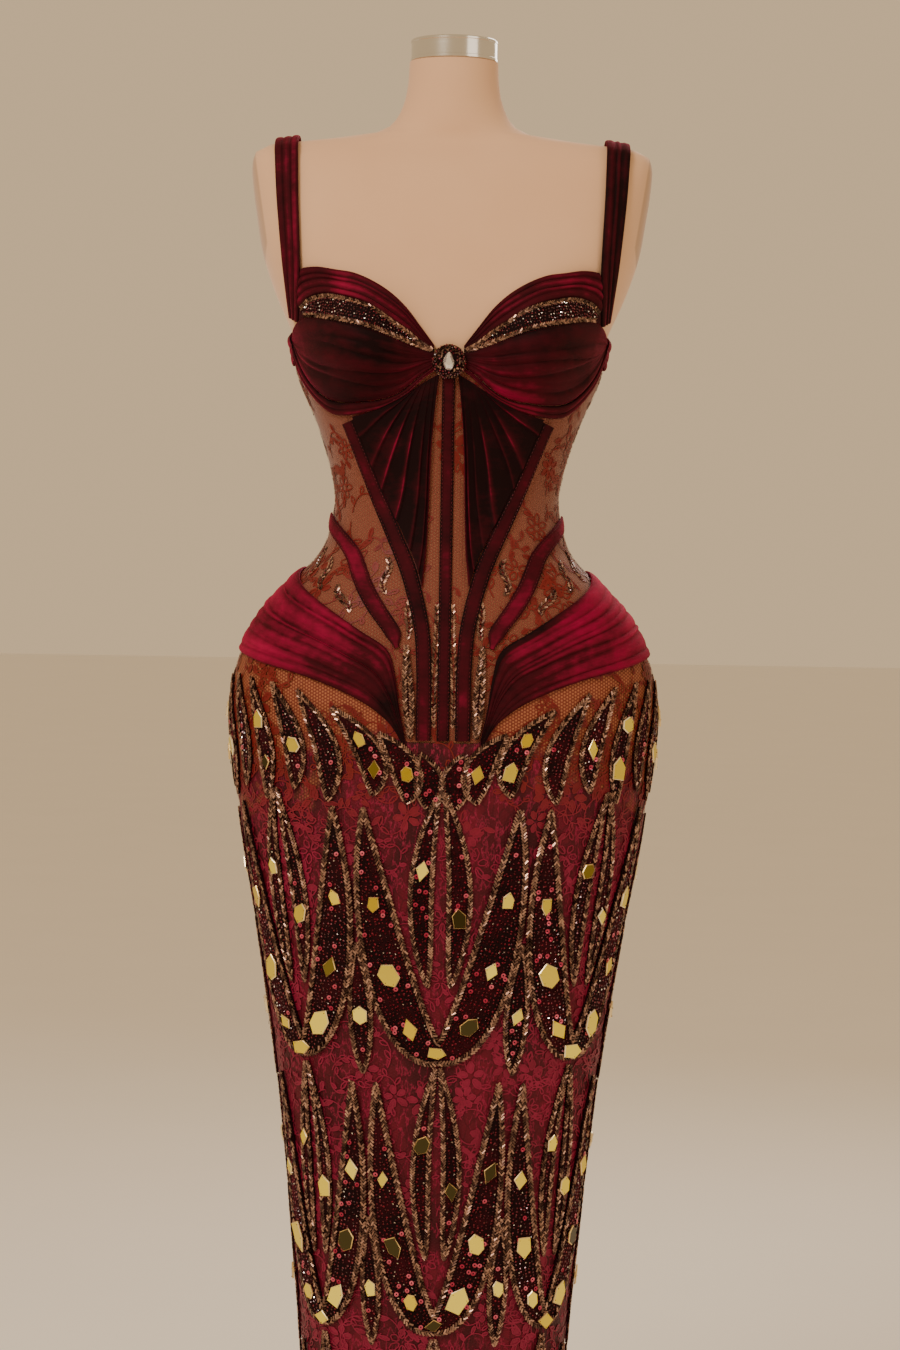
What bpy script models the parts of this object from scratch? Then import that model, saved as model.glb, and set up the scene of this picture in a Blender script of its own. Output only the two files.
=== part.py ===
"""A fitted evening dress on a limbless dress form that stands on a round base.

Metres, +Z up, the front faces -Y and the floor is Z = 0. Places on the figure are given as degrees round from
the centre front (90 is the side, 180 the centre back) and height. "left" is the side at -X.
"""

import math

import bmesh
import bpy
import numpy as np
from mathutils import Vector

# Figure sections from the hem to the top of the neck, in metres. Squareness turns the oval into a rounded box.
# Columns: height, half width, front depth, back depth, squareness
SECTIONS = np.array([
    (0.035, 0.114, 0.080, 0.078, 0.02),
    (0.165, 0.116, 0.082, 0.079, 0.02),
    (0.295, 0.119, 0.084, 0.080, 0.02),
    (0.400, 0.128, 0.088, 0.083, 0.02),
    (0.510, 0.139, 0.092, 0.086, 0.02),
    (0.620, 0.154, 0.097, 0.090, 0.02),
    (0.714, 0.1695, 0.102, 0.097, 0.02),
    (0.790, 0.183, 0.106, 0.110, 0.02),
    (0.860, 0.192, 0.109, 0.124, 0.02),
    (0.900, 0.193, 0.109, 0.128, 0.02),
    (0.937, 0.1865, 0.107, 0.126, 0.02),
    (0.975, 0.1675, 0.101, 0.115, 0.02),
    (1.000, 0.1455, 0.096, 0.104, 0.02),
    (1.030, 0.1165, 0.088, 0.091, 0.02),
    (1.050, 0.1065, 0.084, 0.083, 0.02),
    (1.086, 0.1005, 0.080, 0.075, 0.02),
    (1.123, 0.1075, 0.083, 0.076, 0.02),
    (1.160, 0.120, 0.090, 0.081, 0.02),
    (1.197, 0.136, 0.098, 0.087, 0.02),
    (1.235, 0.1450, 0.103, 0.092, 0.02),
    (1.272, 0.1610, 0.101, 0.096, 0.03),
    (1.309, 0.1735, 0.092, 0.096, 0.05),
    (1.346, 0.1800, 0.078, 0.092, 0.06),
    (1.375, 0.1840, 0.065, 0.084, 0.07),
    (1.395, 0.1845, 0.054, 0.073, 0.08),
    (1.406, 0.1790, 0.045, 0.063, 0.08),
    (1.411, 0.1640, 0.041, 0.057, 0.06),
    (1.4145, 0.135, 0.039, 0.053, 0.04),
    (1.418, 0.100, 0.039, 0.051, 0.02),
    (1.423, 0.072, 0.040, 0.050, 0.0),
    (1.432, 0.056, 0.041, 0.048, 0.0),
    (1.450, 0.046, 0.041, 0.044, 0.0),
    (1.470, 0.042, 0.041, 0.041, 0.0),
    (1.489, 0.041, 0.040, 0.040, 0.0),
])

# Bust fullness, added straight forward
BUST_OUT = 0.084
BUST_HEIGHT = 1.222
BUST_DEPTH = 0.042
BUST_REACH_SIDE = 0.072
BUST_REACH_UP = 0.092
BUST_REACH_DOWN = 0.063

# Cup and band edges on one side of the front: heights at each number of degrees
CUP_COLUMNS = ("degrees", "neckline", "bead_top", "bead_low", "cup_low", "band_low")
CUPS = np.array([
    (5.0, 1.2225, 1.2195, 1.2165, 1.2035, 1.2000),
    (10.0, 1.2385, 1.2255, 1.2188, 1.1965, 1.1917),
    (15.0, 1.2570, 1.2345, 1.2222, 1.1875, 1.1818),
    (20.0, 1.2708, 1.2425, 1.2265, 1.1805, 1.1757),
    (27.0, 1.2830, 1.2555, 1.2320, 1.1760, 1.1690),
    (33.0, 1.2875, 1.2620, 1.2360, 1.1748, 1.1655),
    (40.0, 1.2920, 1.2665, 1.2405, 1.1735, 1.1625),
    (48.0, 1.2915, 1.2650, 1.2450, 1.1740, 1.1615),
    (55.0, 1.2850, 1.2590, 1.2470, 1.1775, 1.1640),
    (62.0, 1.2780, 1.2540, 1.2455, 1.1870, 1.1725),
    (70.0, 1.2700, 1.2500, 1.2400, 1.2050, 1.1900),
    (76.0, 1.2650, 1.2450, 1.2330, 1.2235, 1.2130),
])

# Back band edges from the cups' outer end to the centre back, highest where the strap is sewn on
# Columns: degrees, top, low
BACK_BAND = np.array([
    (76.4, 1.2335, 1.2125),
    (90.0, 1.2340, 1.2090),
    (108.0, 1.2440, 1.2120),
    (128.0, 1.2620, 1.2240),
    (150.0, 1.2450, 1.2130),
    (180.0, 1.2280, 1.2000),
])

# Centre line of each sewn velvet casing. Columns: degrees, height
INNER_CASING = np.array([
    (4.8, 0.868),
    (5.0, 0.930),
    (6.9, 0.975),
    (12.7, 1.013),
    (23.5, 1.050),
    (35.8, 1.090),
    (42.3, 1.125),
    (46.0, 1.155),
])
OUTER_CASING = np.array([
    (14.8, 0.966),
    (22.0, 0.988),
    (33.0, 1.014),
    (45.0, 1.035),
    (62.0, 1.052),
    (88.0, 1.068),
])

# Fan of pleats: their ends along the inner casing's edge, from the top pleat to the tip. Columns: degrees, height
FAN_ENDS = np.array([
    (41.0, 1.1600),
    (36.8, 1.1280),
    (30.4, 1.0950),
    (18.6, 1.0560),
    (10.6, 1.0240),
    (7.9, 1.0040),
])
FAN_ROOTS = ((13.0, 1.1800), (3.6, 1.1830))
FAN_PLEATS = 7
FAN_INNER_BOW = 2.4
FAN_TOP_SAG = 0.0035

# Hip drape edges at stations from its low front tip to the centre back
# Columns: low degrees, low height, up degrees, up height
HIP_DRAPE = np.array([
    (9.4, 0.8600, 9.2, 0.8690),
    (12.4, 0.8790, 10.6, 0.8930),
    (16.2, 0.8920, 12.2, 0.9250),
    (22.0, 0.9040, 15.0, 0.9480),
    (30.0, 0.9150, 23.0, 0.9630),
    (40.0, 0.9240, 34.0, 0.9790),
    (52.0, 0.9305, 47.0, 0.9920),
    (66.0, 0.9365, 62.0, 1.0030),
    (79.0, 0.9405, 77.0, 1.0120),
    (90.0, 0.9420, 90.0, 1.0170),
    (105.0, 0.9430, 105.0, 1.0170),
    (130.0, 0.9440, 130.0, 1.0120),
    (155.0, 0.9450, 155.0, 1.0060),
    (180.0, 0.9460, 180.0, 1.0030),
])
HIP_SIDE_STATION = 9
HIP_FOLDS = 6

# Where the skirt's top edge runs, under the hip drapes. Columns: degrees, height
SKIRT_TOP = np.array([
    (0.0, 0.8657),
    (10.0, 0.8657),
    (14.0, 0.8920),
    (20.0, 0.9090),
    (31.0, 0.9250),
    (40.0, 0.9330),
    (54.0, 0.9420),
    (90.0, 0.9520),
    (180.0, 0.9540),
])
NET_ABOVE_SKIRT = 0.012
NET_BOTTOM_FRONT = 0.8663
NET_UNDER_BAND = 0.3
NET_TOP_CENTRE = 1.1600
NET_TOP_RISE = 0.1
HEM_HEIGHT = 0.035
SKIRT_ROW_CROWDING = 1.7

# Shoulder strap, from the cup's corner over the shoulder to the back band. Columns: across, height, and
# 1 where it runs behind the figure
STRAP = (
    (0.1389, 1.2478, 0),
    (0.1425, 1.3000, 0),
    (0.1475, 1.3550, 0),
    (0.1500, 1.3900, 0),
    (0.1510, 1.4050, 0),
    (0.1510, 1.4127, 0),
    (0.1510, 1.4050, 1),
    (0.1500, 1.3900, 1),
    (0.1460, 1.3500, 1),
    (0.1380, 1.3100, 1),
    (0.1269, 1.2624, 1),
)
STRAP_WIDTH = 0.022
STRAP_END_WIDTH = 0.016
STRAP_FOLDS = 3
STRAP_FOLD_HEIGHT = 0.0010
STRAP_CLEARANCE = 0.0030

# Walls and stacking, measured outward from the figure
SEAM_GAP = 0.0003
SKIN_CLEARANCE = 0.0020
CUP_CLEARANCE = 0.0027
NET_WALL = 0.0012
SKIRT_WALL = 0.0017
OVER_NET = 0.0046
OVER_SKIRT = 0.0049
VELVET_WALL = 0.0013
CASING_WALL = 0.0015
FOLD_HEIGHT = 0.0017
CASING_WIDTH = 0.0135
CENTRE_CASING_WIDTH = 0.011
CENTRE_CASING_DROP = 0.0007
CENTRE_CASING_ENDS = (0.868, 1.1935)

# Folds fade towards where they are gathered: how high they stand there, and how fast they rise along the piece
GATHER = (0.25, 2.5)
PLEAT = (0.15, 2.0)
DRAPE_FOLD = (0.2, 3.0)
NECKLINE_FOLDS = 4
CUP_FOLDS = 5
BAND_FOLDS = 2
BAND_FOLD_SHARE = 0.6
DRAPE_END = 46.2
BEADED_END = 55.5
BEADED_LOW_END = 59.5

# Degrees left clear on each side of a seam
NET_INSET = 0.14
BACK_INSET = 0.12
HIP_INSET = 0.06
SKIRT_INSET = 0.05

# Where the side net's columns stand, closer together near the casing
NET_SIDE_COLUMNS = (0.0, 0.06, 0.12, 0.19, 0.30, 0.42, 0.54, 0.66, 0.78, 0.89, 1.0)

# Leaf sprigs sewn on the skirt: two curved leaves that meet in a U
SPRIG_ROWS = 3
SPRIG_LOWEST = 0.085
SPRIG_PITCH = 0.250
SPRIG_RISE = 0.222
SPRIG_SPREAD = 20.5
SPRIG_LEAF_DEGREES = 12.5
SPRIG_WAIST_DEGREES = 3.5
SPRIG_WALL = 0.002
SPRIG_FRONT_STEMS = (-50.0, 0.0, 50.0)
SPRIG_BACK_STEMS = (-137.0, 137.0)

# Brooch at the centre front
BROOCH_HEIGHT = 1.2075
BROOCH_BACK = 0.0034
CLUSTER_HALF = (0.0160, 0.0042, 0.0165)
CRYSTAL_WIDTH = 0.0105
CRYSTAL_LENGTH = 0.0165
CRYSTAL_DEPTH = 0.0050

# Dress form, pole and base
FORM_UNDERSIDE = 0.720
FORM_BUST_SHARE = 0.82
FORM_RINGS = (
    0.720, 0.780, 0.840, 0.890, 0.930, 0.960, 0.985, 1.005, 1.025, 1.045, 1.065, 1.086, 1.107, 1.132, 1.160,
    1.180, 1.205, 1.230, 1.255, 1.285, 1.320, 1.355, 1.382, 1.398, 1.406, 1.411, 1.4145, 1.418, 1.423, 1.432,
    1.450, 1.489,
)
FORM_FRONT_STEP = 8.0
FORM_BACK_COLUMNS = 16
CAP_RADIUS = 0.0400
CAP_BOTTOM = 1.4893
CAP_TOP = 1.5095
POLE_RADIUS = 0.0125
HUB_RADIUS = 0.024
HUB_TOP = 0.034
BASE_RADIUS = 0.190
BASE_THICKNESS = 0.008
ROUND_STEPS = 30

LEFT, RIGHT = -1, 1
SIDES = ((LEFT, "left"), (RIGHT, "right"))

# name: (base colour, roughness, metallic)
FINISHES = {
    "velvet": ((0.085, 0.002, 0.010, 1.0), 0.75, 0.0),
    "bright_velvet": ((0.240, 0.006, 0.040, 1.0), 0.70, 0.0),
    "lace_net": ((0.250, 0.070, 0.028, 1.0), 0.80, 0.0),
    "skirt_lace": ((0.110, 0.006, 0.018, 1.0), 0.65, 0.0),
    "beadwork": ((0.045, 0.008, 0.010, 1.0), 0.35, 0.3),
    "crystal": ((0.900, 0.850, 0.780, 1.0), 0.05, 0.0),
    "form_jersey": ((0.720, 0.470, 0.300, 1.0), 0.85, 0.0),
    "chrome": ((0.700, 0.690, 0.670, 1.0), 0.15, 1.0),
    "steel": ((0.500, 0.500, 0.500, 1.0), 0.35, 1.0),
}


def clear_scene():
    for obj in list(bpy.data.objects):
        bpy.data.objects.remove(obj, do_unlink=True)


def finish(name):
    """The Principled material of this name, made once."""
    made = bpy.data.materials.get(name)
    if made:
        return made
    colour, roughness, metallic = FINISHES[name]
    made = bpy.data.materials.new(name)
    made.use_nodes = True
    shader = made.node_tree.nodes["Principled BSDF"]
    shader.inputs["Base Color"].default_value = colour
    shader.inputs["Roughness"].default_value = roughness
    shader.inputs["Metallic"].default_value = metallic
    return made


def along(table, at):
    """Row of the table at this value of its first column, on a smooth curve through the rows."""
    keys = table[:, 0]
    at = min(max(at, keys[0]), keys[-1])
    i = int(np.clip(np.searchsorted(keys, at) - 1, 0, len(keys) - 2))
    span = keys[i + 1] - keys[i]
    t = (at - keys[i]) / span

    def slope(j):
        low, high = max(j - 1, 0), min(j + 1, len(keys) - 1)
        return (table[high, 1:] - table[low, 1:]) / (keys[high] - keys[low])

    a, b = table[i, 1:], table[i + 1, 1:]
    rise_a, rise_b = slope(i) * span, slope(i + 1) * span
    return (
        (2 * t**3 - 3 * t**2 + 1) * a
        + (t**3 - 2 * t**2 + t) * rise_a
        + (3 * t**2 - 2 * t**3) * b
        + (t**3 - t**2) * rise_b
    )


def on_route(table, share):
    """Point of a route at this share of its stations, on a smooth curve through them."""
    keyed = np.column_stack([np.linspace(0.0, 1.0, len(table)), table])
    return along(keyed, share)


def bust_at(across, height):
    """How far the bust stands forward of the plain section."""
    reach_z = BUST_REACH_UP if height > BUST_HEIGHT else BUST_REACH_DOWN
    out = math.hypot((abs(across) - BUST_OUT) / BUST_REACH_SIDE, (height - BUST_HEIGHT) / reach_z)
    return BUST_DEPTH * math.cos(math.pi / 2 * out) ** 2 if out < 1 else 0.0


def figure(degrees, height, bust_share=1.0):
    """Point of the figure's surface."""
    half_width, front, back, square = along(SECTIONS, height)
    turn = math.radians(degrees)
    across = half_width * (math.sin(turn) + square * math.sin(3 * turn)) / (1 - square)
    ahead = (math.cos(turn) - square * math.cos(3 * turn)) / (1 - square)
    depth = ahead * (front if ahead > 0 else back)
    if ahead > 0:
        depth += bust_share * bust_at(across, height) * min(1.0, 2 * ahead)
    return Vector((across, -depth, height))


def outward(degrees, height):
    """Unit normal of the figure's surface."""
    step_round, step_up = 0.5, 0.002
    low, high = max(height - step_up, SECTIONS[0, 0]), min(height + step_up, SECTIONS[-1, 0])
    tangent = figure(degrees + step_round, height) - figure(degrees - step_round, height)
    rise = figure(degrees, high) - figure(degrees, low)
    return tangent.cross(rise).normalized()


def off_figure(degrees, height, offset):
    return figure(degrees, height) + offset * outward(degrees, height)


def metres_per_degree(degrees, height):
    return (figure(degrees + 1, height) - figure(degrees - 1, height)).length / 2


def folds(share, count):
    """0 in a trough and at both edges, 1 on a ridge, with round ridges."""
    return math.sin(math.pi * count * share) ** 2


def gathered(share, fade):
    """How much of a fold's height is left at this share of its length from where it is gathered."""
    start, rate = fade
    return min(1.0, start + rate * share)


def new_object(name, mesh, material):
    mesh.materials.append(finish(material))
    mesh.shade_smooth()
    mesh.set_sharp_from_angle(angle=math.radians(50))
    obj = bpy.data.objects.new(name, mesh)
    bpy.data.collections["evening_dress"].objects.link(obj)
    return obj


def grid_surface(bm, columns, rows, place):
    """Adds a grid of columns x rows cells whose points place(u, v) sets, u and v in 0..1."""
    made = bmesh.ops.create_grid(bm, x_segments=columns, y_segments=rows, size=0.5)["verts"]
    for vert in made:
        vert.co = place(vert.co.x + 0.5, vert.co.y + 0.5)
    return made


def shell(name, material, columns, rows, outer, inner):
    """A closed wall between an outer and an inner surface, both functions of (u, v)."""
    bm = bmesh.new()
    grid_surface(bm, columns, rows, outer)
    grid_surface(bm, columns, rows, inner)
    rims = [edge for edge in bm.edges if edge.is_boundary]
    bmesh.ops.bridge_loops(bm, edges=rims)
    bmesh.ops.recalc_face_normals(bm, faces=bm.faces)
    mesh = bpy.data.meshes.new(name)
    bm.to_mesh(mesh)
    bm.free()
    return new_object(name, mesh, material)


def panel(name, material, columns, rows, place, base, wall, relief=None):
    """Cloth over the figure. place(u, v) gives degrees and height, relief(u, v) the extra height of its folds."""

    def outer(u, v):
        degrees, height = place(u, v)
        raised = relief(u, v) if relief else 0.0
        return off_figure(degrees, height, base + wall + raised)

    def inner(u, v):
        degrees, height = place(u, v)
        return off_figure(degrees, height, base)

    return shell(name, material, columns, rows, outer, inner)


def narrowed(share, length):
    """A share of a stretch of this length, drawn in by half a seam gap at both ends."""
    inset = SEAM_GAP / 2 / length
    return inset + share * (1 - 2 * inset)


def between(low, high, share):
    """Height at this share from low to high, half a seam gap inside both edges."""
    return low + (high - low) * narrowed(share, abs(high - low))


def strip(name, material, segments, route, width, base, wall, across=1):
    """A ribbon on the figure that follows route(share) as (degrees, height) and is width(share) metres wide."""

    def at(sideways, share, offset):
        degrees, height = route(share)
        behind = figure(*route(max(share - 0.01, 0.0)))
        ahead = figure(*route(min(share + 0.01, 1.0)))
        side = (ahead - behind).cross(outward(degrees, height)).normalized()
        shift = (sideways - 0.5) * width(share)
        round_by = shift * side.dot(tangent_at(degrees, height)) / metres_per_degree(degrees, height)
        return off_figure(degrees + round_by, height + shift * side.z, offset)

    return shell(name, material, across, segments,
                 lambda u, v: at(u, v, base + wall), lambda u, v: at(u, v, base))


def tangent_at(degrees, height):
    return (figure(degrees + 1, height) - figure(degrees - 1, height)).normalized()


def make_form():
    """The smooth jersey torso, one closed solid with a flat underside."""
    front = np.arange(-64.0, 64.0, FORM_FRONT_STEP)
    back = np.linspace(64.0, 296.0, FORM_BACK_COLUMNS, endpoint=False)
    turns = [float(turn) for turn in np.concatenate([front, back])]
    bm = bmesh.new()
    rings = []
    for height in FORM_RINGS:
        ring = bmesh.ops.create_circle(bm, segments=len(turns), radius=1.0)["verts"]
        for vert, turn in zip(ring, turns):
            vert.co = figure(turn, height, FORM_BUST_SHARE)
        rings.append(ring)
    for ring in (rings[0], rings[-1]):
        bm.faces.new(ring)
    for low, high in zip(rings, rings[1:]):
        for i in range(len(turns)):
            j = (i + 1) % len(turns)
            bm.faces.new((low[i], low[j], high[j], high[i]))
    bmesh.ops.recalc_face_normals(bm, faces=bm.faces)
    mesh = bpy.data.meshes.new("form_torso")
    bm.to_mesh(mesh)
    bm.free()
    new_object("form_torso", mesh, "form_jersey")


def turned(name, material, profile):
    """A solid of revolution about Z from (radius, height) points that run down its outer side."""
    mesh = bpy.data.meshes.new(name)
    mesh.from_pydata(
        [(radius, 0.0, height) for radius, height in profile],
        [(i, i + 1) for i in range(len(profile) - 1)],
        [],
    )
    obj = bpy.data.objects.new(name, mesh)
    mesh.materials.append(finish(material))
    bpy.data.collections["evening_dress"].objects.link(obj)
    screw = obj.modifiers.new("turn", "SCREW")
    screw.steps = ROUND_STEPS
    screw.render_steps = ROUND_STEPS
    screw.use_merge_vertices = True
    screw.merge_threshold = 0.0001
    return obj


def make_stand():
    """Neck cap, pole and the round floor base."""
    edge = 0.0015
    turned("form_neck_cap", "chrome", [
        (0.0, CAP_TOP),
        (CAP_RADIUS - edge, CAP_TOP),
        (CAP_RADIUS, CAP_TOP - edge),
        (CAP_RADIUS, CAP_BOTTOM + edge),
        (CAP_RADIUS - edge, CAP_BOTTOM),
        (0.0, CAP_BOTTOM),
    ])
    turned("form_pole", "steel", [
        (0.0, FORM_UNDERSIDE - SEAM_GAP),
        (POLE_RADIUS, FORM_UNDERSIDE - SEAM_GAP),
        (POLE_RADIUS, HUB_TOP + SEAM_GAP),
        (0.0, HUB_TOP + SEAM_GAP),
    ])
    turned("form_base", "steel", [
        (0.0, HUB_TOP),
        (HUB_RADIUS, HUB_TOP),
        (HUB_RADIUS, BASE_THICKNESS),
        (BASE_RADIUS - edge, BASE_THICKNESS),
        (BASE_RADIUS, BASE_THICKNESS - edge),
        (BASE_RADIUS, edge),
        (BASE_RADIUS - edge, 0.0),
        (0.0, 0.0),
    ])


def net_top(degrees):
    """The net's upper edge, hidden under the middle of the under-bust and back bands."""
    if degrees < CUPS[-1, 0]:
        cup_low, band_low = along(CUPS, degrees)[3:5]
        return band_low + NET_UNDER_BAND * (cup_low - band_low)
    top, low = along(BACK_BAND, degrees)
    return low + NET_UNDER_BAND * (top - low)


def net_bottom(degrees):
    if degrees <= 10.0:
        return NET_BOTTOM_FRONT
    return along(SKIRT_TOP, degrees)[0] + NET_ABOVE_SKIRT


def casing_line(height):
    """Degrees of the inner casing's centre line at this height."""
    return float(along(INNER_CASING[:, ::-1], height)[0])


def make_net(side, word):
    """Lace net panels of the bodice: centre front, side front and back."""
    rows, side_columns = 12, len(NET_SIDE_COLUMNS) - 1
    seam_low, seam_high = INNER_CASING[0, 0], INNER_CASING[-1, 0]

    def centre(u, v):
        top = min(net_top(u * seam_high), NET_TOP_CENTRE)
        height = NET_BOTTOM_FRONT + v * (top - NET_BOTTOM_FRONT)
        return side * (NET_INSET + u * (casing_line(height) - 2 * NET_INSET)), height

    def side_front(u, v):
        share = NET_SIDE_COLUMNS[round(u * side_columns)]
        low = net_bottom(seam_low + share * (90.0 - seam_low))
        top = min(net_top(seam_high + share * (90.0 - seam_high)), NET_TOP_CENTRE + NET_TOP_RISE * share)
        height = low + v * (top - low)
        start = casing_line(height)
        return side * (start + NET_INSET + share * (90.0 - start - 2 * NET_INSET)), height

    def back(u, v):
        degrees = 90.0 + NET_INSET + u * (90.0 - 2 * NET_INSET)
        low, top = net_bottom(degrees), net_top(degrees)
        return side * degrees, low + v * (top - low)

    panel(f"net_centre_{word}", "lace_net", 4, rows, centre, SKIN_CLEARANCE, NET_WALL)
    panel(f"net_side_{word}", "lace_net", side_columns, rows, side_front, SKIN_CLEARANCE, NET_WALL)
    panel(f"net_back_{word}", "lace_net", 7, 10, back, SKIN_CLEARANCE, NET_WALL)


def cup_edges(degrees):
    return dict(zip(CUP_COLUMNS[1:], along(CUPS, degrees)))


def make_cups(side, word):
    """Folded neckline drape, beaded upper cup, gathered velvet cup and the band under the bust."""
    first, last = CUPS[0, 0], CUPS[-1, 0]

    def ribbon(low, high, low_end, high_end):
        def place(u, v):
            degrees = first + u * (low_end + v * (high_end - low_end) - first)
            edges = cup_edges(degrees)
            return side * degrees, between(edges[low], edges[high], v)
        return place

    def long_folds(count, height):
        def relief(u, v):
            return height * folds(v, count) * gathered(u, GATHER)
        return relief

    panel(f"neckline_drape_{word}", "velvet", 12, 2 * NECKLINE_FOLDS,
          ribbon("bead_top", "neckline", BEADED_END, DRAPE_END),
          CUP_CLEARANCE, VELVET_WALL, long_folds(NECKLINE_FOLDS, FOLD_HEIGHT))
    panel(f"beaded_cup_{word}", "beadwork", 12, 2, ribbon("bead_low", "bead_top", BEADED_LOW_END, BEADED_END),
          CUP_CLEARANCE, VELVET_WALL)
    panel(f"velvet_cup_{word}", "velvet", 12, 2 * CUP_FOLDS, ribbon("cup_low", "bead_low", last, last),
          CUP_CLEARANCE, VELVET_WALL, long_folds(CUP_FOLDS, FOLD_HEIGHT))
    panel(f"underbust_band_{word}", "bright_velvet", 14, 2 * BAND_FOLDS, ribbon("band_low", "cup_low", last, last),
          OVER_NET, VELVET_WALL, long_folds(BAND_FOLDS, FOLD_HEIGHT * BAND_FOLD_SHARE))


def make_back_band(side, word):
    first, last = BACK_BAND[0, 0], 180.0 - BACK_INSET

    def place(u, v):
        degrees = first + u * (last - first)
        top, low = along(BACK_BAND, degrees)
        return side * degrees, low + v * (top - low)

    panel(f"back_band_{word}", "velvet", 10, 2, place, OVER_NET, VELVET_WALL)


def make_fan(side, word):
    """Pleats that spread from the brooch down to the inner casing's edge."""

    def place(u, v):
        ends = on_route(FAN_ENDS, u)
        root = [FAN_ROOTS[0][i] + u * (FAN_ROOTS[1][i] - FAN_ROOTS[0][i]) for i in (0, 1)]
        bow = math.sin(math.pi * v)
        degrees = root[0] + v * (ends[0] - root[0]) + FAN_INNER_BOW * bow * u**2
        height = root[1] + v * (ends[1] - root[1]) - FAN_TOP_SAG * bow * (1 - u) ** 2
        return side * degrees, height

    def relief(u, v):
        return FOLD_HEIGHT * folds(u, FAN_PLEATS) * gathered(v, PLEAT)

    panel(f"fan_{word}", "velvet", 2 * FAN_PLEATS, 6, place, OVER_NET, VELVET_WALL, relief)


def make_casings():
    """Velvet channels sewn over the net: one at the centre, two diagonals a side."""
    low, high = CENTRE_CASING_ENDS
    strip("casing_centre", "velvet", 16, lambda share: (0.0, low + share * (high - low)),
          lambda share: CENTRE_CASING_WIDTH, OVER_NET - CENTRE_CASING_DROP, CASING_WALL)
    for side, word in SIDES:
        for name, table, material, segments in (
            ("inner", INNER_CASING, "velvet", 18),
            ("outer", OUTER_CASING, "bright_velvet", 12),
        ):
            def route(share, table=table, side=side):
                degrees, height = on_route(table, share)
                return side * float(degrees), float(height)

            strip(f"casing_{name}_{word}", material, segments, route, lambda share: CASING_WIDTH,
                  OVER_NET, CASING_WALL)


def degrees_at(across, height, behind):
    """Degrees round from the centre front where the figure is this far across."""
    low, high = 0.0, 90.0
    for _ in range(30):
        middle = (low + high) / 2
        if figure(middle, height).x < across:
            low = middle
        else:
            high = middle
    return 180.0 - low if behind else low


def make_strap(side, word):
    """Velvet strap folded lengthwise, over the shoulder from the cup to the back band."""
    stations = []
    for i, (across, height, behind) in enumerate(STRAP):
        degrees = degrees_at(across, height, behind)
        point, normal = figure(degrees, height), outward(degrees, height)
        stations.append((i / (len(STRAP) - 1), *point, *normal))
    stations = np.array(stations)

    def at(sideways, share, offset):
        here = along(stations, share)
        ahead = along(stations, min(share + 0.01, 1.0)) - along(stations, max(share - 0.01, 0.0))
        normal = Vector(here[3:6]).normalized()
        across = Vector(ahead[0:3]).cross(normal).normalized()
        width = STRAP_END_WIDTH + (STRAP_WIDTH - STRAP_END_WIDTH) * math.sin(math.pi * share) ** 0.5
        point = Vector(here[0:3]) + (sideways - 0.5) * width * across + offset * normal
        return Vector((side * point.x, point.y, point.z))

    def outer(u, v):
        return at(u, v, STRAP_CLEARANCE + VELVET_WALL + STRAP_FOLD_HEIGHT * folds(u, STRAP_FOLDS))

    shell(f"strap_{word}", "bright_velvet" if side == LEFT else "velvet", 2 * STRAP_FOLDS, 19,
          outer, lambda u, v: at(u, v, STRAP_CLEARANCE))


def make_hip_drape(side, word):
    """Folds that fan from a low front tip round the hip, and on to the centre back."""
    last, count = len(HIP_DRAPE) - 1, HIP_FOLDS

    def on_drape(station, v):
        low_degrees, low, up_degrees, up = on_route(HIP_DRAPE, station / last)
        return side * (low_degrees + v * (up_degrees - low_degrees)), low + v * (up - low)

    def relief(u, v):
        return FOLD_HEIGHT * folds(v, count) * gathered(u, DRAPE_FOLD)

    def front(u, v):
        degrees, height = on_drape(u * HIP_SIDE_STATION, v)
        return degrees - side * HIP_INSET * u, height

    def back(u, v):
        degrees, height = on_drape(HIP_SIDE_STATION + u * (last - HIP_SIDE_STATION), v)
        return degrees + side * HIP_INSET * (1 - 3 * u), height

    def back_relief(u, v):
        return FOLD_HEIGHT * folds(v, count)

    panel(f"hip_drape_{word}", "bright_velvet", 15, 2 * count, front, OVER_SKIRT, VELVET_WALL, relief)
    panel(f"hip_drape_back_{word}", "bright_velvet", 9, 2 * count, back, OVER_SKIRT, VELVET_WALL, back_relief)


def make_skirt():
    """Narrow skirt to the floor: one front and two backs, which meet at the side seams and the centre back."""
    rows, inset = 13, SKIRT_INSET

    def place_over(start, end):
        def place(u, v):
            degrees = start + u * (end - start)
            top = float(along(SKIRT_TOP, abs(degrees))[0])
            share = 1 - (1 - v) ** SKIRT_ROW_CROWDING
            return degrees, HEM_HEIGHT + share * (top - HEM_HEIGHT)
        return place

    panel("skirt_front", "skirt_lace", 18, rows, place_over(-90.0 + inset, 90.0 - inset),
          SKIN_CLEARANCE, SKIRT_WALL)
    for side, word in SIDES:
        panel(f"skirt_back_{word}", "skirt_lace", 8, rows,
              place_over(side * (90.0 + inset), side * (180.0 - 2 * inset)), SKIN_CLEARANCE, SKIRT_WALL)


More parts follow.
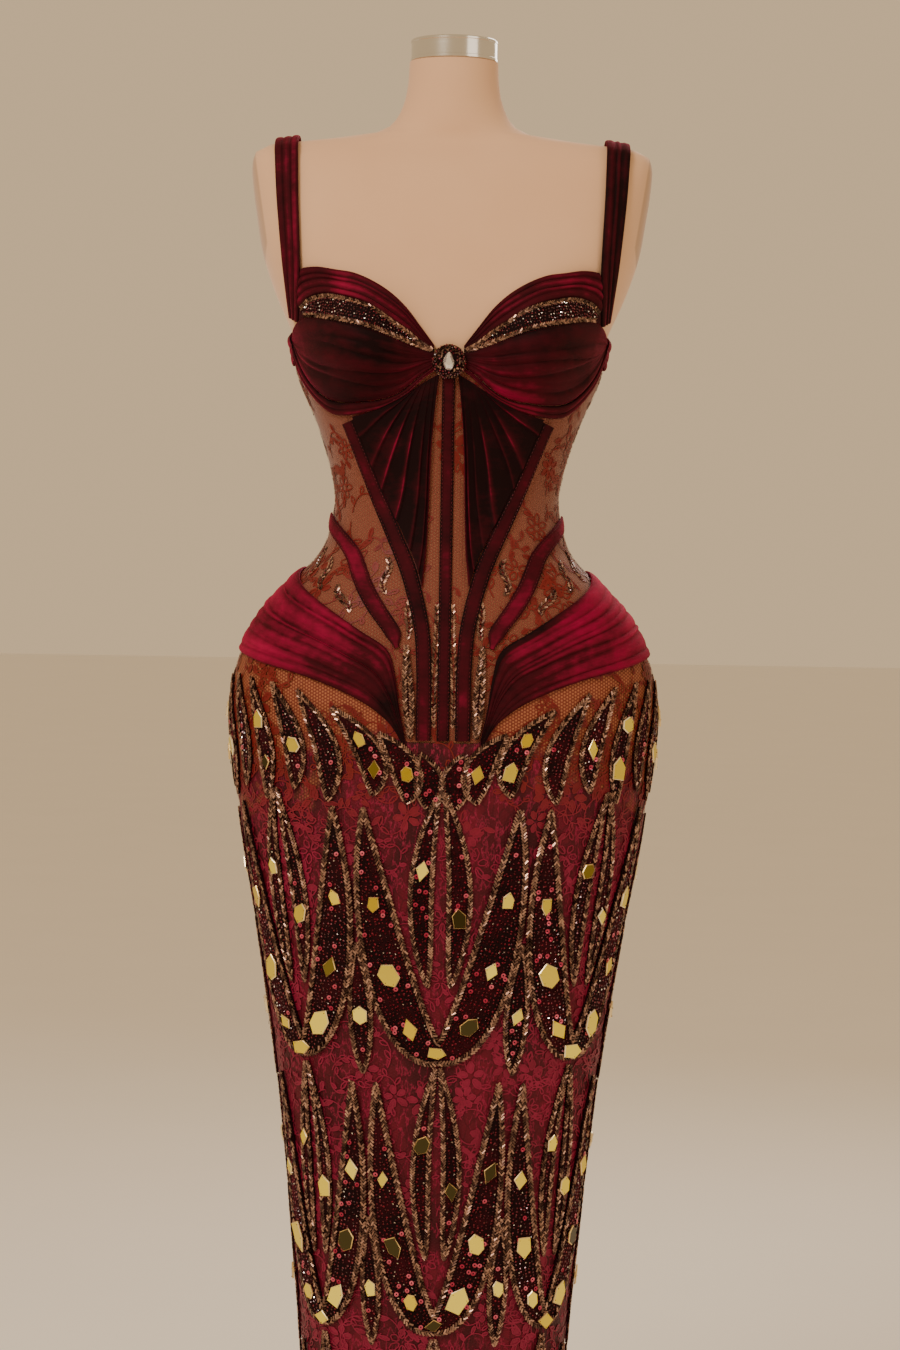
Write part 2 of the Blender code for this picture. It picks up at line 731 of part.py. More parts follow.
def make_sprigs():
    """Raised beadwork sprigs, in upright rows round the skirt."""
    stems = [("front", i, stem) for i, stem in enumerate(SPRIG_FRONT_STEMS)]
    stems += [("back", i, stem) for i, stem in enumerate(SPRIG_BACK_STEMS)]
    for face, column, stem in stems:
        for row in range(SPRIG_ROWS):
            root = SPRIG_LOWEST + row * SPRIG_PITCH

            def route(share, stem=stem, root=root):
                turn = math.pi * (share - 0.5)
                return stem + SPRIG_SPREAD * math.sin(turn), root + SPRIG_RISE * (1 - math.cos(turn))

            def width(share, route=route):
                reach = abs(2 * share - 1)
                leaf = math.sin(math.pi * min(1.0, 0.08 + 0.92 * reach) ** 1.1)
                wide = SPRIG_WAIST_DEGREES * (1 - reach) + SPRIG_LEAF_DEGREES * max(0.0, leaf) ** 0.8
                return (wide + 1.0) * metres_per_degree(*route(share))

            strip(f"sprig_{face}_{column}_{row}", "beadwork", 10, route, width, OVER_SKIRT, SPRIG_WALL, across=2)


def make_brooch():
    """Domed bead cluster at the centre front with a pear crystal, point up."""
    seat = figure(0.0, BROOCH_HEIGHT)
    half_x, half_y, half_z = CLUSTER_HALF
    bm = bmesh.new()
    made = bmesh.ops.create_uvsphere(bm, u_segments=14, v_segments=8, radius=1.0)["verts"]
    for vert in made:
        vert.co = Vector((vert.co.x * half_x, vert.co.y * half_y, vert.co.z * half_z))
        vert.co += seat + Vector((0.0, -BROOCH_BACK - half_y, 0.0))
    mesh = bpy.data.meshes.new("brooch_cluster")
    bm.to_mesh(mesh)
    bm.free()
    new_object("brooch_cluster", mesh, "beadwork")

    segments, girdle_share, table_share = 14, 0.35, 0.55
    bm = bmesh.new()
    crystal_back = BROOCH_BACK + 2 * half_y + SEAM_GAP
    levels = ((0.75, 0.0), (1.0, girdle_share), (table_share, 1.0))
    rings = []
    for scale, depth in levels:
        ring = bmesh.ops.create_circle(bm, segments=segments, radius=1.0)["verts"]
        for i, vert in enumerate(ring):
            turn = 2 * math.pi * i / segments
            taper = 1 - 0.45 * max(0.0, math.cos(turn))
            vert.co = seat + Vector((
                scale * taper * CRYSTAL_WIDTH / 2 * math.sin(turn),
                -crystal_back - depth * CRYSTAL_DEPTH,
                scale * CRYSTAL_LENGTH / 2 * math.cos(turn),
            ))
        rings.append(ring)
    for ring in (rings[0], rings[-1]):
        bm.faces.new(ring)
    for low, high in zip(rings, rings[1:]):
        for i in range(segments):
            j = (i + 1) % segments
            bm.faces.new((low[i], low[j], high[j], high[i]))
    bmesh.ops.recalc_face_normals(bm, faces=bm.faces)
    mesh = bpy.data.meshes.new("brooch_crystal")
    bm.to_mesh(mesh)
    bm.free()
    new_object("brooch_crystal", mesh, "crystal")


def main():
    clear_scene()
    bpy.context.scene.collection.children.link(bpy.data.collections.new("evening_dress"))
    make_form()
    make_stand()
    make_skirt()
    make_casings()
    make_sprigs()
    make_brooch()
    for side, word in SIDES:
        make_net(side, word)
        make_cups(side, word)
        make_back_band(side, word)
        make_fan(side, word)
        make_strap(side, word)
        make_hip_drape(side, word)


main()
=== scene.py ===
"""Looks of the evening dress and its dress form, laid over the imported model.

Metres, +Z up, the front faces -Y. A place on the figure is degrees round from the centre front and a height.
The tables from "Figure sections" to "Dress form" follow the part's own source, which can't be read here.
The fans, casings, nets, neckline drapes and beaded cups run on a little further here than their solids do.
"""

import math

import bpy
import numpy as np
from mathutils import Matrix, Vector


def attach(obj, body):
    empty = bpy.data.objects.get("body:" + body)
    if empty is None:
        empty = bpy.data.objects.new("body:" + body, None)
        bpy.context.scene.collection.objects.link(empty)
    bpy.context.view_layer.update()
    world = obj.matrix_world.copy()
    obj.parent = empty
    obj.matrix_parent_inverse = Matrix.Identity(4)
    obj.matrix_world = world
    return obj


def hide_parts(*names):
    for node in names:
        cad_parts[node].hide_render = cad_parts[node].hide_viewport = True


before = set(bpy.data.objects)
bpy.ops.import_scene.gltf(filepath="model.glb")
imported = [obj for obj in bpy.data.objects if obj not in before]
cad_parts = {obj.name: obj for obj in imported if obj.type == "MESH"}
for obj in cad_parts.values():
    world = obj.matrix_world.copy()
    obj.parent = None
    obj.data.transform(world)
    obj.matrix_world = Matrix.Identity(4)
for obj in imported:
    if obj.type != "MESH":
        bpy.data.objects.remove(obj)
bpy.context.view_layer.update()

bl_info = {
    "name": "Evening dress",
    "version": (1, 0, 0),
    "blender": (4, 5, 0),
    "location": "View3D > Sidebar > Dress",
    "description": "Builds the cloth, lace, beadwork and dress form of a fitted evening dress",
    "category": "Add Mesh",
}

# Figure sections. Columns: height, half width, front depth, back depth, squareness
SECTIONS = np.array([
    (0.035, 0.114, 0.080, 0.078, 0.02),
    (0.165, 0.116, 0.082, 0.079, 0.02),
    (0.295, 0.119, 0.084, 0.080, 0.02),
    (0.400, 0.128, 0.088, 0.083, 0.02),
    (0.510, 0.139, 0.092, 0.086, 0.02),
    (0.620, 0.154, 0.097, 0.090, 0.02),
    (0.714, 0.1695, 0.102, 0.097, 0.02),
    (0.790, 0.183, 0.106, 0.110, 0.02),
    (0.860, 0.192, 0.109, 0.124, 0.02),
    (0.900, 0.193, 0.109, 0.128, 0.02),
    (0.937, 0.1865, 0.107, 0.126, 0.02),
    (0.975, 0.1675, 0.101, 0.115, 0.02),
    (1.000, 0.1455, 0.096, 0.104, 0.02),
    (1.030, 0.1165, 0.088, 0.091, 0.02),
    (1.050, 0.1065, 0.084, 0.083, 0.02),
    (1.086, 0.1005, 0.080, 0.075, 0.02),
    (1.123, 0.1075, 0.083, 0.076, 0.02),
    (1.160, 0.120, 0.090, 0.081, 0.02),
    (1.197, 0.136, 0.098, 0.087, 0.02),
    (1.235, 0.1450, 0.103, 0.092, 0.02),
    (1.272, 0.1610, 0.101, 0.096, 0.03),
    (1.309, 0.1735, 0.092, 0.096, 0.05),
    (1.346, 0.1800, 0.078, 0.092, 0.06),
    (1.375, 0.1840, 0.065, 0.084, 0.07),
    (1.395, 0.1845, 0.054, 0.073, 0.08),
    (1.406, 0.1790, 0.045, 0.063, 0.08),
    (1.411, 0.1640, 0.041, 0.057, 0.06),
    (1.4145, 0.135, 0.039, 0.053, 0.04),
    (1.418, 0.100, 0.039, 0.051, 0.02),
    (1.423, 0.072, 0.040, 0.050, 0.0),
    (1.432, 0.056, 0.041, 0.048, 0.0),
    (1.450, 0.046, 0.041, 0.044, 0.0),
    (1.470, 0.042, 0.041, 0.041, 0.0),
    (1.489, 0.041, 0.040, 0.040, 0.0),
])
BUST_OUT = 0.084
BUST_HEIGHT = 1.222
BUST_DEPTH = 0.042
BUST_REACH_SIDE = 0.072
BUST_REACH_UP = 0.092
BUST_REACH_DOWN = 0.063

# Cup and band edges on one side of the front: heights at each number of degrees
CUP_COLUMNS = ("degrees", "neckline", "bead_top", "bead_low", "cup_low", "band_low")
CUPS = np.array([
    (5.0, 1.2225, 1.2195, 1.2165, 1.2035, 1.2000),
    (10.0, 1.2385, 1.2255, 1.2188, 1.1965, 1.1917),
    (15.0, 1.2570, 1.2345, 1.2222, 1.1875, 1.1818),
    (20.0, 1.2708, 1.2425, 1.2265, 1.1805, 1.1757),
    (27.0, 1.2830, 1.2555, 1.2320, 1.1760, 1.1690),
    (33.0, 1.2875, 1.2620, 1.2360, 1.1748, 1.1655),
    (40.0, 1.2920, 1.2665, 1.2405, 1.1735, 1.1625),
    (48.0, 1.2915, 1.2650, 1.2450, 1.1740, 1.1615),
    (55.0, 1.2850, 1.2590, 1.2470, 1.1775, 1.1640),
    (62.0, 1.2780, 1.2540, 1.2455, 1.1870, 1.1725),
    (70.0, 1.2700, 1.2500, 1.2400, 1.2050, 1.1900),
    (76.0, 1.2650, 1.2450, 1.2330, 1.2235, 1.2130),
])
# Back band. Columns: degrees, top, low
BACK_BAND = np.array([
    (76.4, 1.2335, 1.2125),
    (90.0, 1.2340, 1.2090),
    (108.0, 1.2440, 1.2120),
    (128.0, 1.2620, 1.2240),
    (150.0, 1.2450, 1.2130),
    (180.0, 1.2280, 1.2000),
])
# Centre line of each sewn velvet casing. Columns: degrees, height
INNER_CASING = np.array([
    (4.8, 0.868),
    (5.0, 0.930),
    (6.9, 0.975),
    (12.7, 1.013),
    (23.5, 1.050),
    (35.8, 1.090),
    (42.3, 1.125),
    (46.0, 1.155),
])
OUTER_CASING = np.array([
    (12.4, 0.9500),
    (14.8, 0.966),
    (22.0, 0.988),
    (33.0, 1.014),
    (45.0, 1.035),
    (62.0, 1.052),
    (88.0, 1.068),
])
# Ends of the fan's pleats, from the top pleat to the tip. Columns: degrees, height
FAN_ENDS = np.array([
    (41.0, 1.1600),
    (36.8, 1.1280),
    (30.4, 1.0950),
    (18.6, 1.0560),
    (10.6, 1.0240),
    (7.9, 1.0040),
])
FAN_ROOTS = ((13.0, 1.1842), (3.2, 1.1975))
FAN_PLEATS = 7
FAN_INNER_BOW = 2.4
FAN_TOP_SAG = 0.0035
# Hip drape edges, from the low front tip to the centre back.
# Columns: low degrees, low height, up degrees, up height
HIP_DRAPE = np.array([
    (9.4, 0.8600, 9.2, 0.8690),
    (12.4, 0.8790, 10.6, 0.8930),
    (16.2, 0.8920, 12.2, 0.9250),
    (22.0, 0.9040, 15.0, 0.9480),
    (30.0, 0.9150, 23.0, 0.9630),
    (40.0, 0.9240, 34.0, 0.9790),
    (52.0, 0.9305, 47.0, 0.9920),
    (66.0, 0.9365, 62.0, 1.0030),
    (79.0, 0.9405, 77.0, 1.0120),
    (90.0, 0.9420, 90.0, 1.0170),
    (105.0, 0.9430, 105.0, 1.0170),
    (130.0, 0.9440, 130.0, 1.0120),
    (155.0, 0.9450, 155.0, 1.0060),
    (180.0, 0.9460, 180.0, 1.0030),
])
HIP_SIDE_STATION = 9
# The skirt's top edge, under the hip drapes. Columns: degrees, height
SKIRT_TOP = np.array([
    (0.0, 0.8657),
    (10.0, 0.8657),
    (14.0, 0.8920),
    (20.0, 0.9090),
    (31.0, 0.9250),
    (40.0, 0.9330),
    (54.0, 0.9420),
    (90.0, 0.9520),
    (180.0, 0.9540),
])
NET_ABOVE_SKIRT = 0.012
NET_BOTTOM_FRONT = 0.8663
NET_UNDER_BAND = 0.3
HEM_HEIGHT = 0.035

# Shoulder strap. Columns: across, height, and 1 where it runs behind the figure
STRAP = (
    (0.1389, 1.2478, 0),
    (0.1425, 1.3000, 0),
    (0.1475, 1.3550, 0),
    (0.1500, 1.3900, 0),
    (0.1510, 1.4050, 0),
    (0.1510, 1.4127, 0),
    (0.1510, 1.4050, 1),
    (0.1500, 1.3900, 1),
    (0.1460, 1.3500, 1),
    (0.1380, 1.3100, 1),
    (0.1269, 1.2624, 1),
)
STRAP_WIDTH = 0.022
STRAP_END_WIDTH = 0.0195
STRAP_FOLD_HEIGHT = 0.0010
STRAP_CLEARANCE = 0.0030

# Walls and stacking, measured outward from the figure
SEAM_GAP = 0.0003
SKIN_CLEARANCE = 0.0020
CUP_CLEARANCE = 0.0027
NET_WALL = 0.0012
SKIRT_WALL = 0.0017
OVER_NET = 0.0046
OVER_SKIRT = 0.0049
VELVET_WALL = 0.0013
CASING_WALL = 0.0015
CASING_WIDTH = 0.0135
CENTRE_CASING_WIDTH = 0.011
OUTER_CASING_TAPER = 0.65
OUTER_CASING_TAPER_SHARE = 0.14
OUTER_CASING_FAR_END = 1.06
CENTRE_CASING_DROP = 0.0007
CENTRE_CASING_ENDS = (0.868, 1.1990)
DRAPE_END = 46.8
BEADED_END = 57.0
BEADED_LOW_END = 61.3
NET_INSET = 0.14
BACK_INSET = 0.12
HIP_INSET = 0.06
SKIRT_INSET = 0.05

# Leaf sprigs
SPRIG_ROWS = 3
SPRIG_LOWEST = 0.085
SPRIG_PITCH = 0.250
SPRIG_RISE = 0.222
SPRIG_SPREAD = 20.5
SPRIG_LEAF_DEGREES = 12.5
SPRIG_WAIST_DEGREES = 3.5
SPRIG_WALL = 0.002
SPRIG_FRONT_STEMS = (-50.0, 0.0, 50.0)
SPRIG_BACK_STEMS = (-137.0, 137.0)
LEAF_CLEARANCE = 0.0041
LEAF_WALL = 0.0016

# Brooch
BROOCH_HEIGHT = 1.2075
BROOCH_BACK = 0.0034
CLUSTER_HALF = (0.0160, 0.0042, 0.0165)
CRYSTAL_WIDTH = 0.0105
CRYSTAL_LENGTH = 0.0165
CRYSTAL_DEPTH = 0.0050

# Dress form
FORM_UNDERSIDE = 0.720
FORM_TOP = 1.489
FORM_BUST_SHARE = 0.82
# Profiles of the turned metal. Columns: radius, height
CAP_PROFILE = (
    (0.0392, 1.4893), (0.0400, 1.4901), (0.0400, 1.4925), (0.0396, 1.4929), (0.0396, 1.5065), (0.0400, 1.5069),
    (0.0400, 1.5086), (0.0391, 1.5095),
)
BASE_PROFILE = (
    (0.1886, 0.0), (0.1900, 0.0014), (0.1900, 0.0064), (0.1884, 0.0080), (0.0262, 0.0080), (0.0244, 0.0088),
    (0.0240, 0.0105), (0.0240, 0.0328), (0.0228, 0.0340),
)

LEFT, RIGHT = -1, 1
SIDES = ((LEFT, "left"), (RIGHT, "right"))
BODY = "root"


# Surface of the figure

def along(table, at):
    """Rows of the table at these values of its first column, on a smooth curve through the rows."""
    keys, rows = table[:, 0], table[:, 1:]
    last = len(keys) - 1
    low, high = np.maximum(np.arange(last + 1) - 1, 0), np.minimum(np.arange(last + 1) + 1, last)
    slopes = (rows[high] - rows[low]) / (keys[high] - keys[low])[:, None]
    at = np.clip(np.asarray(at, float), keys[0], keys[-1])
    i = np.clip(np.searchsorted(keys, at) - 1, 0, last - 1)
    span = (keys[i + 1] - keys[i])[..., None]
    t = (at - keys[i])[..., None] / span
    return (
        (2 * t**3 - 3 * t**2 + 1) * rows[i]
        + (t**3 - 2 * t**2 + t) * slopes[i] * span
        + (3 * t**2 - 2 * t**3) * rows[i + 1]
        + (t**3 - t**2) * slopes[i + 1] * span
    )


def column(table, at, index=0):
    return along(table, at)[..., index]


def on_route(table, share):
    """Points of a route at these shares of its stations, as its separate columns."""
    keyed = np.column_stack([np.linspace(0.0, 1.0, len(table)), table])
    return np.moveaxis(along(keyed, share), -1, 0)


def unit(vectors):
    return vectors / np.linalg.norm(vectors, axis=-1, keepdims=True)


def bust_at(across, height):
    reach_z = np.where(height > BUST_HEIGHT, BUST_REACH_UP, BUST_REACH_DOWN)
    out = np.hypot((np.abs(across) - BUST_OUT) / BUST_REACH_SIDE, (height - BUST_HEIGHT) / reach_z)
    return BUST_DEPTH * np.cos(math.pi / 2 * np.minimum(out, 1.0)) ** 2


def figure(degrees, height, bust_share=1.0):
    """Points of the figure's surface."""
    degrees, height = np.broadcast_arrays(np.asarray(degrees, float), np.asarray(height, float))
    half_width, front, back, square = np.moveaxis(along(SECTIONS, height), -1, 0)
    turn = np.radians(degrees)
    across = half_width * (np.sin(turn) + square * np.sin(3 * turn)) / (1 - square)
    ahead = (np.cos(turn) - square * np.cos(3 * turn)) / (1 - square)
    depth = ahead * np.where(ahead > 0, front, back)
    depth = depth + bust_share * bust_at(across, height) * np.clip(2 * ahead, 0.0, 1.0)
    return np.stack([across, -depth, height], axis=-1)


def tangent_at(degrees, height):
    return unit(figure(degrees + 1, height) - figure(degrees - 1, height))


def outward(degrees, height):
    """Unit normals of the figure's surface."""
    height = np.asarray(height, float)
    low, high = np.maximum(height - 0.002, SECTIONS[0, 0]), np.minimum(height + 0.002, SECTIONS[-1, 0])
    tangent = figure(degrees + 0.5, height) - figure(degrees - 0.5, height)
    return unit(np.cross(tangent, figure(degrees, high) - figure(degrees, low)))


def off_figure(degrees, height, offset):
    return figure(degrees, height) + np.asarray(offset)[..., None] * outward(degrees, height)


def metres_per_degree(degrees, height):
    return np.linalg.norm(figure(degrees + 1, height) - figure(degrees - 1, height), axis=-1) / 2


def girth_from_front(degrees, height, steps=14):
    """Metres round the figure from the centre front to each place."""
    total = np.zeros(np.broadcast(degrees, height).shape)
    before = figure(np.zeros_like(total), height)
    for step in range(1, steps + 1):
        here = figure(degrees * step / steps, height)
        total += np.linalg.norm(here - before, axis=-1)
        before = here
    return np.sign(degrees) * total


def ribbon_place(route, width, sideways, share):
    """Places on a ribbon that follows route(share) and is width(share) metres wide."""
    degrees, height = route(share)
    behind = figure(*route(np.maximum(share - 0.01, 0.0)))
    ahead = figure(*route(np.minimum(share + 0.01, 1.0)))
    side = unit(np.cross(ahead - behind, outward(degrees, height)))
    shift = (sideways - 0.5) * width(share)
    round_by = shift * (side * tangent_at(degrees, height)).sum(-1) / metres_per_degree(degrees, height)
    return degrees + round_by, height + shift * side[..., 2]


# Folds

def smooth_step(value, low, high):
    t = np.clip((value - low) / (high - low), 0.0, 1.0)
    return t * t * (3 - 2 * t)


def roll(share):
    """A soft round fold between two narrow creases."""
    return np.sin(math.pi * np.clip(share, 0.0, 1.0)) ** 0.7


def knife(share):
    """A flat pleat that climbs slowly to a sharp edge."""
    return np.minimum(np.clip(share / 0.86, 0, 1) ** 1.3, np.clip((1 - share) / 0.14, 0, 1) ** 0.6)


def fold_row(across, along_share, count, seed, profile=roll, uneven=0.26, wander=0.10, short=0.0, least=0.55):
    """Heights 0 to 1 of uneven folds side by side. short is the share of them that die out before the end."""
    rng = np.random.default_rng(seed)
    edges = np.linspace(0.0, 1.0, count + 1)
    edges[1:-1] += rng.uniform(-uneven, uneven, count - 1) / count
    sway = rng.uniform(-wander, wander, count + 1) / count
    sway[0] = sway[-1] = 0.0
    phase = rng.uniform(0.0, 2 * math.pi, count + 1)
    lift = rng.uniform(least, 1.0, count)
    ends = np.where(rng.random(count) < short, rng.uniform(0.40, 0.85, count), 2.0)
    height = np.zeros(np.broadcast(across, along_share).shape)
    for i in range(count):
        low = edges[i] + sway[i] * np.sin(5.0 * along_share + phase[i])
        high = edges[i + 1] + sway[i + 1] * np.sin(5.0 * along_share + phase[i + 1])
        share = (across - low) / (high - low)
        inside = (share > 0) & (share < 1)
        fade = 1 - smooth_step(along_share, ends[i], ends[i] + 0.3)
        height = np.where(inside, profile(share) * lift[i] * fade, height)
    return height


# Meshes

def add_piece(name, points, faces, material, nodes=(), slot=None, smooth=math.radians(40)):
    """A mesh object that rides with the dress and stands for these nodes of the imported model."""
    mesh = bpy.data.meshes.new(name)
    mesh.from_pydata(points, [], faces)
    mesh.validate()
    mesh.materials.append(material)
    if smooth:
        mesh.shade_smooth()
        mesh.set_sharp_from_angle(angle=smooth)
    piece = bpy.data.objects.new(name, mesh)
    bpy.context.scene.collection.objects.link(piece)
    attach(piece, BODY)
    if nodes:
        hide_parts(*nodes)
    return piece


def set_cloth_map(piece, across, up):
    """Gives each corner the place of its vertex on the flat cloth, in metres."""
    mesh = piece.data
    corner = np.empty(len(mesh.loops), dtype=np.int64)
    mesh.loops.foreach_get("vertex_index", corner)
    layer = mesh.uv_layers.new(name="cloth")
    layer.data.foreach_set("uv", np.column_stack([across[corner], up[corner]]).ravel())


def set_value(piece, name, values):
    piece.data.attributes.new(name, "FLOAT", "POINT").data.foreach_set("value", np.asarray(values, np.float32))


INNER_STEP = 4


def lay_cloth(name, columns, rows, surface, base, wall, material, relief=None, spread=None, tone=None, **links):
    """A shell of cloth: surface(u, v, offset) gives its points, relief(u, v) its folds, tone(u, v) its painted
    light and shade.
    """
    u, v = np.meshgrid(np.linspace(0, 1, columns + 1), np.linspace(0, 1, rows + 1), indexing="ij")
    raised = relief(u, v) if relief else np.zeros_like(u)
    outer = surface(u, v, base + wall + raised)
    coarse_u, coarse_v = u[::INNER_STEP, ::INNER_STEP], v[::INNER_STEP, ::INNER_STEP]
    inner = surface(coarse_u, coarse_v, np.full_like(coarse_u, base))
    points = np.concatenate([outer.reshape(-1, 3), inner.reshape(-1, 3)])

    top = np.arange(outer.shape[0] * outer.shape[1]).reshape(outer.shape[:2])
    under = top.size + np.arange(inner.shape[0] * inner.shape[1]).reshape(inner.shape[:2])
    faces = quads(top).tolist() + quads(under)[:, ::-1].tolist()
    step, last_i, last_j = INNER_STEP, under.shape[0] - 1, under.shape[1] - 1
    for a in range(last_i):
        run = slice(step * a, step * a + step + 1)
        faces.append(top[run, 0][::-1].tolist() + [under[a, 0], under[a + 1, 0]])
        faces.append(top[run, -1].tolist() + [under[a + 1, -1], under[a, -1]])
    for b in range(last_j):
        run = slice(step * b, step * b + step + 1)
        faces.append(top[0, run].tolist() + [under[0, b + 1], under[0, b]])
        faces.append(top[-1, run][::-1].tolist() + [under[-1, b], under[-1, b + 1]])
    middle = (columns // 2, rows // 2)
    right, over = outer[middle[0] + 1, middle[1]], outer[middle[0], middle[1] + 1]
    normal = np.cross(right - outer[middle], over - outer[middle])
    above = surface(u[middle], v[middle], base + 0.01) - surface(u[middle], v[middle], base)
    if normal @ above < 0:
        faces = [face[::-1] for face in faces]
    piece = add_piece(name, points, faces, material, **links)

    across, up = spread(u, v) if spread else (u, v)
    sub = (slice(None, None, step),) * 2
    set_cloth_map(piece, np.concatenate([across.ravel(), across[sub].ravel()]),
                  np.concatenate([up.ravel(), up[sub].ravel()]))
    tallest = max(float(raised.max()), 1e-6)
    set_value(piece, "fold", np.concatenate([raised.ravel() / tallest, np.zeros(coarse_u.size)]))
    # Painted light and shade from tone(u, v), stored as the tone attribute.
    lit = tone(u, v) if tone else np.zeros_like(u)
    set_value(piece, "tone", np.concatenate([lit.ravel(), lit[sub].ravel()]))
    piece["cut"] = flat_cut(outer, np.ptp(across), np.ptp(up))
    return piece


def quads(index):
    return np.stack([index[:-1, :-1], index[1:, :-1], index[1:, 1:], index[:-1, 1:]], axis=-1).reshape(-1, 4)


def flat_cut(points, across, up):
    """Width, length and area of a cloth laid flat: along its edges, or in its upright box if that is smaller."""
    width = np.linalg.norm(np.diff(points, axis=0), axis=-1).sum(0).max()
    length = np.linalg.norm(np.diff(points, axis=1), axis=-1).sum(1).max()
    diagonals = points[1:, 1:] - points[:-1, :-1], points[:-1, 1:] - points[1:, :-1]
    area = np.linalg.norm(np.cross(*diagonals), axis=-1).sum() / 2
    if area < across * up < width * length:
        width, length = across, up
    return float(width), float(length), float(area)


def over_figure(name, columns, rows, place, base, wall, material, relief=None, tone=None, **links):
    """Cloth over the figure. place(u, v) gives degrees and height."""

    def surface(u, v, offset):
        return off_figure(*place(u, v), offset)

    def spread(u, v):
        degrees, height = place(u, v)
        return girth_from_front(degrees, height), height

    return lay_cloth(name, columns, rows, surface, base, wall, material, relief, spread, tone, **links)


def turned(name, profile, material, node_name, slot, steps=96):
    """A turned metal piece from its profile of radii and heights, bottom first."""
    turns = np.linspace(0.0, 2 * math.pi, steps, endpoint=False)
    radii, heights = np.array(profile).T
    points = np.stack([np.outer(np.cos(turns), radii), np.outer(np.sin(turns), radii),
                       np.broadcast_to(heights, (steps, len(heights)))], axis=-1)
    index = np.arange(points.shape[0] * points.shape[1]).reshape(points.shape[:2])
    faces = quads(np.vstack([index, index[:1]])).tolist()
    faces += [index[::-1, 0].tolist(), index[:, -1].tolist()]
    return add_piece(name, points.reshape(-1, 3), faces, material, [node_name], slot, smooth=math.radians(30))


def scatter(name, shape, points, frames, sizes, material, **links):
    """One mesh of many small copies. shape is (corners, faces), and a frame's rows are the copy's own axes."""
    corners, faces = shape
    count = len(points)
    local = corners[None, :, :] * np.asarray(sizes).reshape(count, 1, -1)
    placed = np.einsum("nci,nij->ncj", local, frames) + points[:, None, :]
    stride = len(corners) * np.arange(count)
    joined = []
    for face in faces:
        joined += (np.asarray(face)[None, :] + stride[:, None]).tolist()
    return add_piece(name, placed.reshape(-1, 3), joined, material, **links)


def frames_from(ahead, normal, turn):
    """Axes of pieces that lie on a surface: along, across and out, turned about the outward one."""
    side = np.cross(normal, ahead)
    cosine, sine = np.cos(turn)[:, None], np.sin(turn)[:, None]
    return np.stack([cosine * ahead + sine * side, cosine * side - sine * ahead, normal], axis=1)


def rolled(frames, roll):
    """Frames turned about their own first axis."""
    ahead, side, normal = frames[:, 0], frames[:, 1], frames[:, 2]
    cosine, sine = np.cos(roll)[:, None], np.sin(roll)[:, None]
    return np.stack([ahead, cosine * side + sine * normal, cosine * normal - sine * side], axis=1)


# Node materials

def new_finish(name):
    """An empty node material with its shader, and the tree to build in."""
    made = bpy.data.materials.new(name)
    made.use_nodes = True
    return made, made.node_tree, made.node_tree.nodes["Principled BSDF"]


def node(tree, kind, links=None, **settings):
    """Adds a node. links maps an input's name or number to a socket or a plain value."""
    made = tree.nodes.new("ShaderNode" + kind)
    for key, value in settings.items():
        setattr(made, key, value)
    for key, value in (links or {}).items():
        if isinstance(value, bpy.types.NodeSocket):
            tree.links.new(value, made.inputs[key])
        else:
            made.inputs[key].default_value = value
    return made


def cloth_map(tree):
    return node(tree, "UVMap", uv_map="cloth").outputs["UV"]


def position(tree):
    return node(tree, "TexCoord").outputs["Object"]


def noise(tree, at, scale, detail=3.0, rough=0.55):
    settings = {"Vector": at, "Scale": scale, "Detail": detail, "Roughness": rough}
    return node(tree, "TexNoise", settings).outputs["Fac"]


def maths(tree, operation, first, second=0.0, clamp=False):
    return node(tree, "Math", {0: first, 1: second}, operation=operation, use_clamp=clamp).outputs[0]


def ramp(tree, factor, *stops):
    """Colours at positions along a factor."""
    made = node(tree, "ValToRGB", {"Fac": factor})
    elements = made.color_ramp.elements
    while len(elements) < len(stops):
        elements.new(0.5)
    for element, (place, colour) in zip(elements, stops):
        element.position = place
        element.color = (*colour, 1.0) if len(colour) == 3 else colour
    return made.outputs["Color"]


def mix_colour(tree, factor, first, second, blend="MIX"):
    made = node(tree, "Mix", {"Factor": factor}, data_type="RGBA", blend_type=blend)
    for socket, value in ((made.inputs[6], first), (made.inputs[7], second)):
        if isinstance(value, bpy.types.NodeSocket):
            tree.links.new(value, socket)
        else:
            socket.default_value = (*value[:3], 1.0)
    return made.outputs[2]


def stretch(tree, at, scale):
    return node(tree, "Mapping", {"Vector": at, "Scale": scale}).outputs["Vector"]


def bump(tree, shader, height, strength, distance):
    made = node(tree, "Bump", {"Height": height, "Strength": strength, "Distance": distance})
    tree.links.new(made.outputs["Normal"], shader.inputs["Normal"])


def net_threads(tree, at, pitch):
    """1 on the threads of a fine six-sided net and 0 in its holes."""
    across = 2 * math.pi / pitch
    total = None
    for direction in (0.0, 60.0, 120.0):
        turn = math.radians(direction)
        ray = (across * math.cos(turn), across * math.sin(turn), 0.0)
        along_ray = node(tree, "VectorMath", {0: at, 1: ray}, operation="DOT_PRODUCT").outputs["Value"]
        wave = maths(tree, "COSINE", along_ray)
        total = wave if total is None else maths(tree, "ADD", total, wave)
    return node(tree, "MapRange", {"Value": total, "From Min": 0.9, "From Max": -0.3}).outputs["Result"]


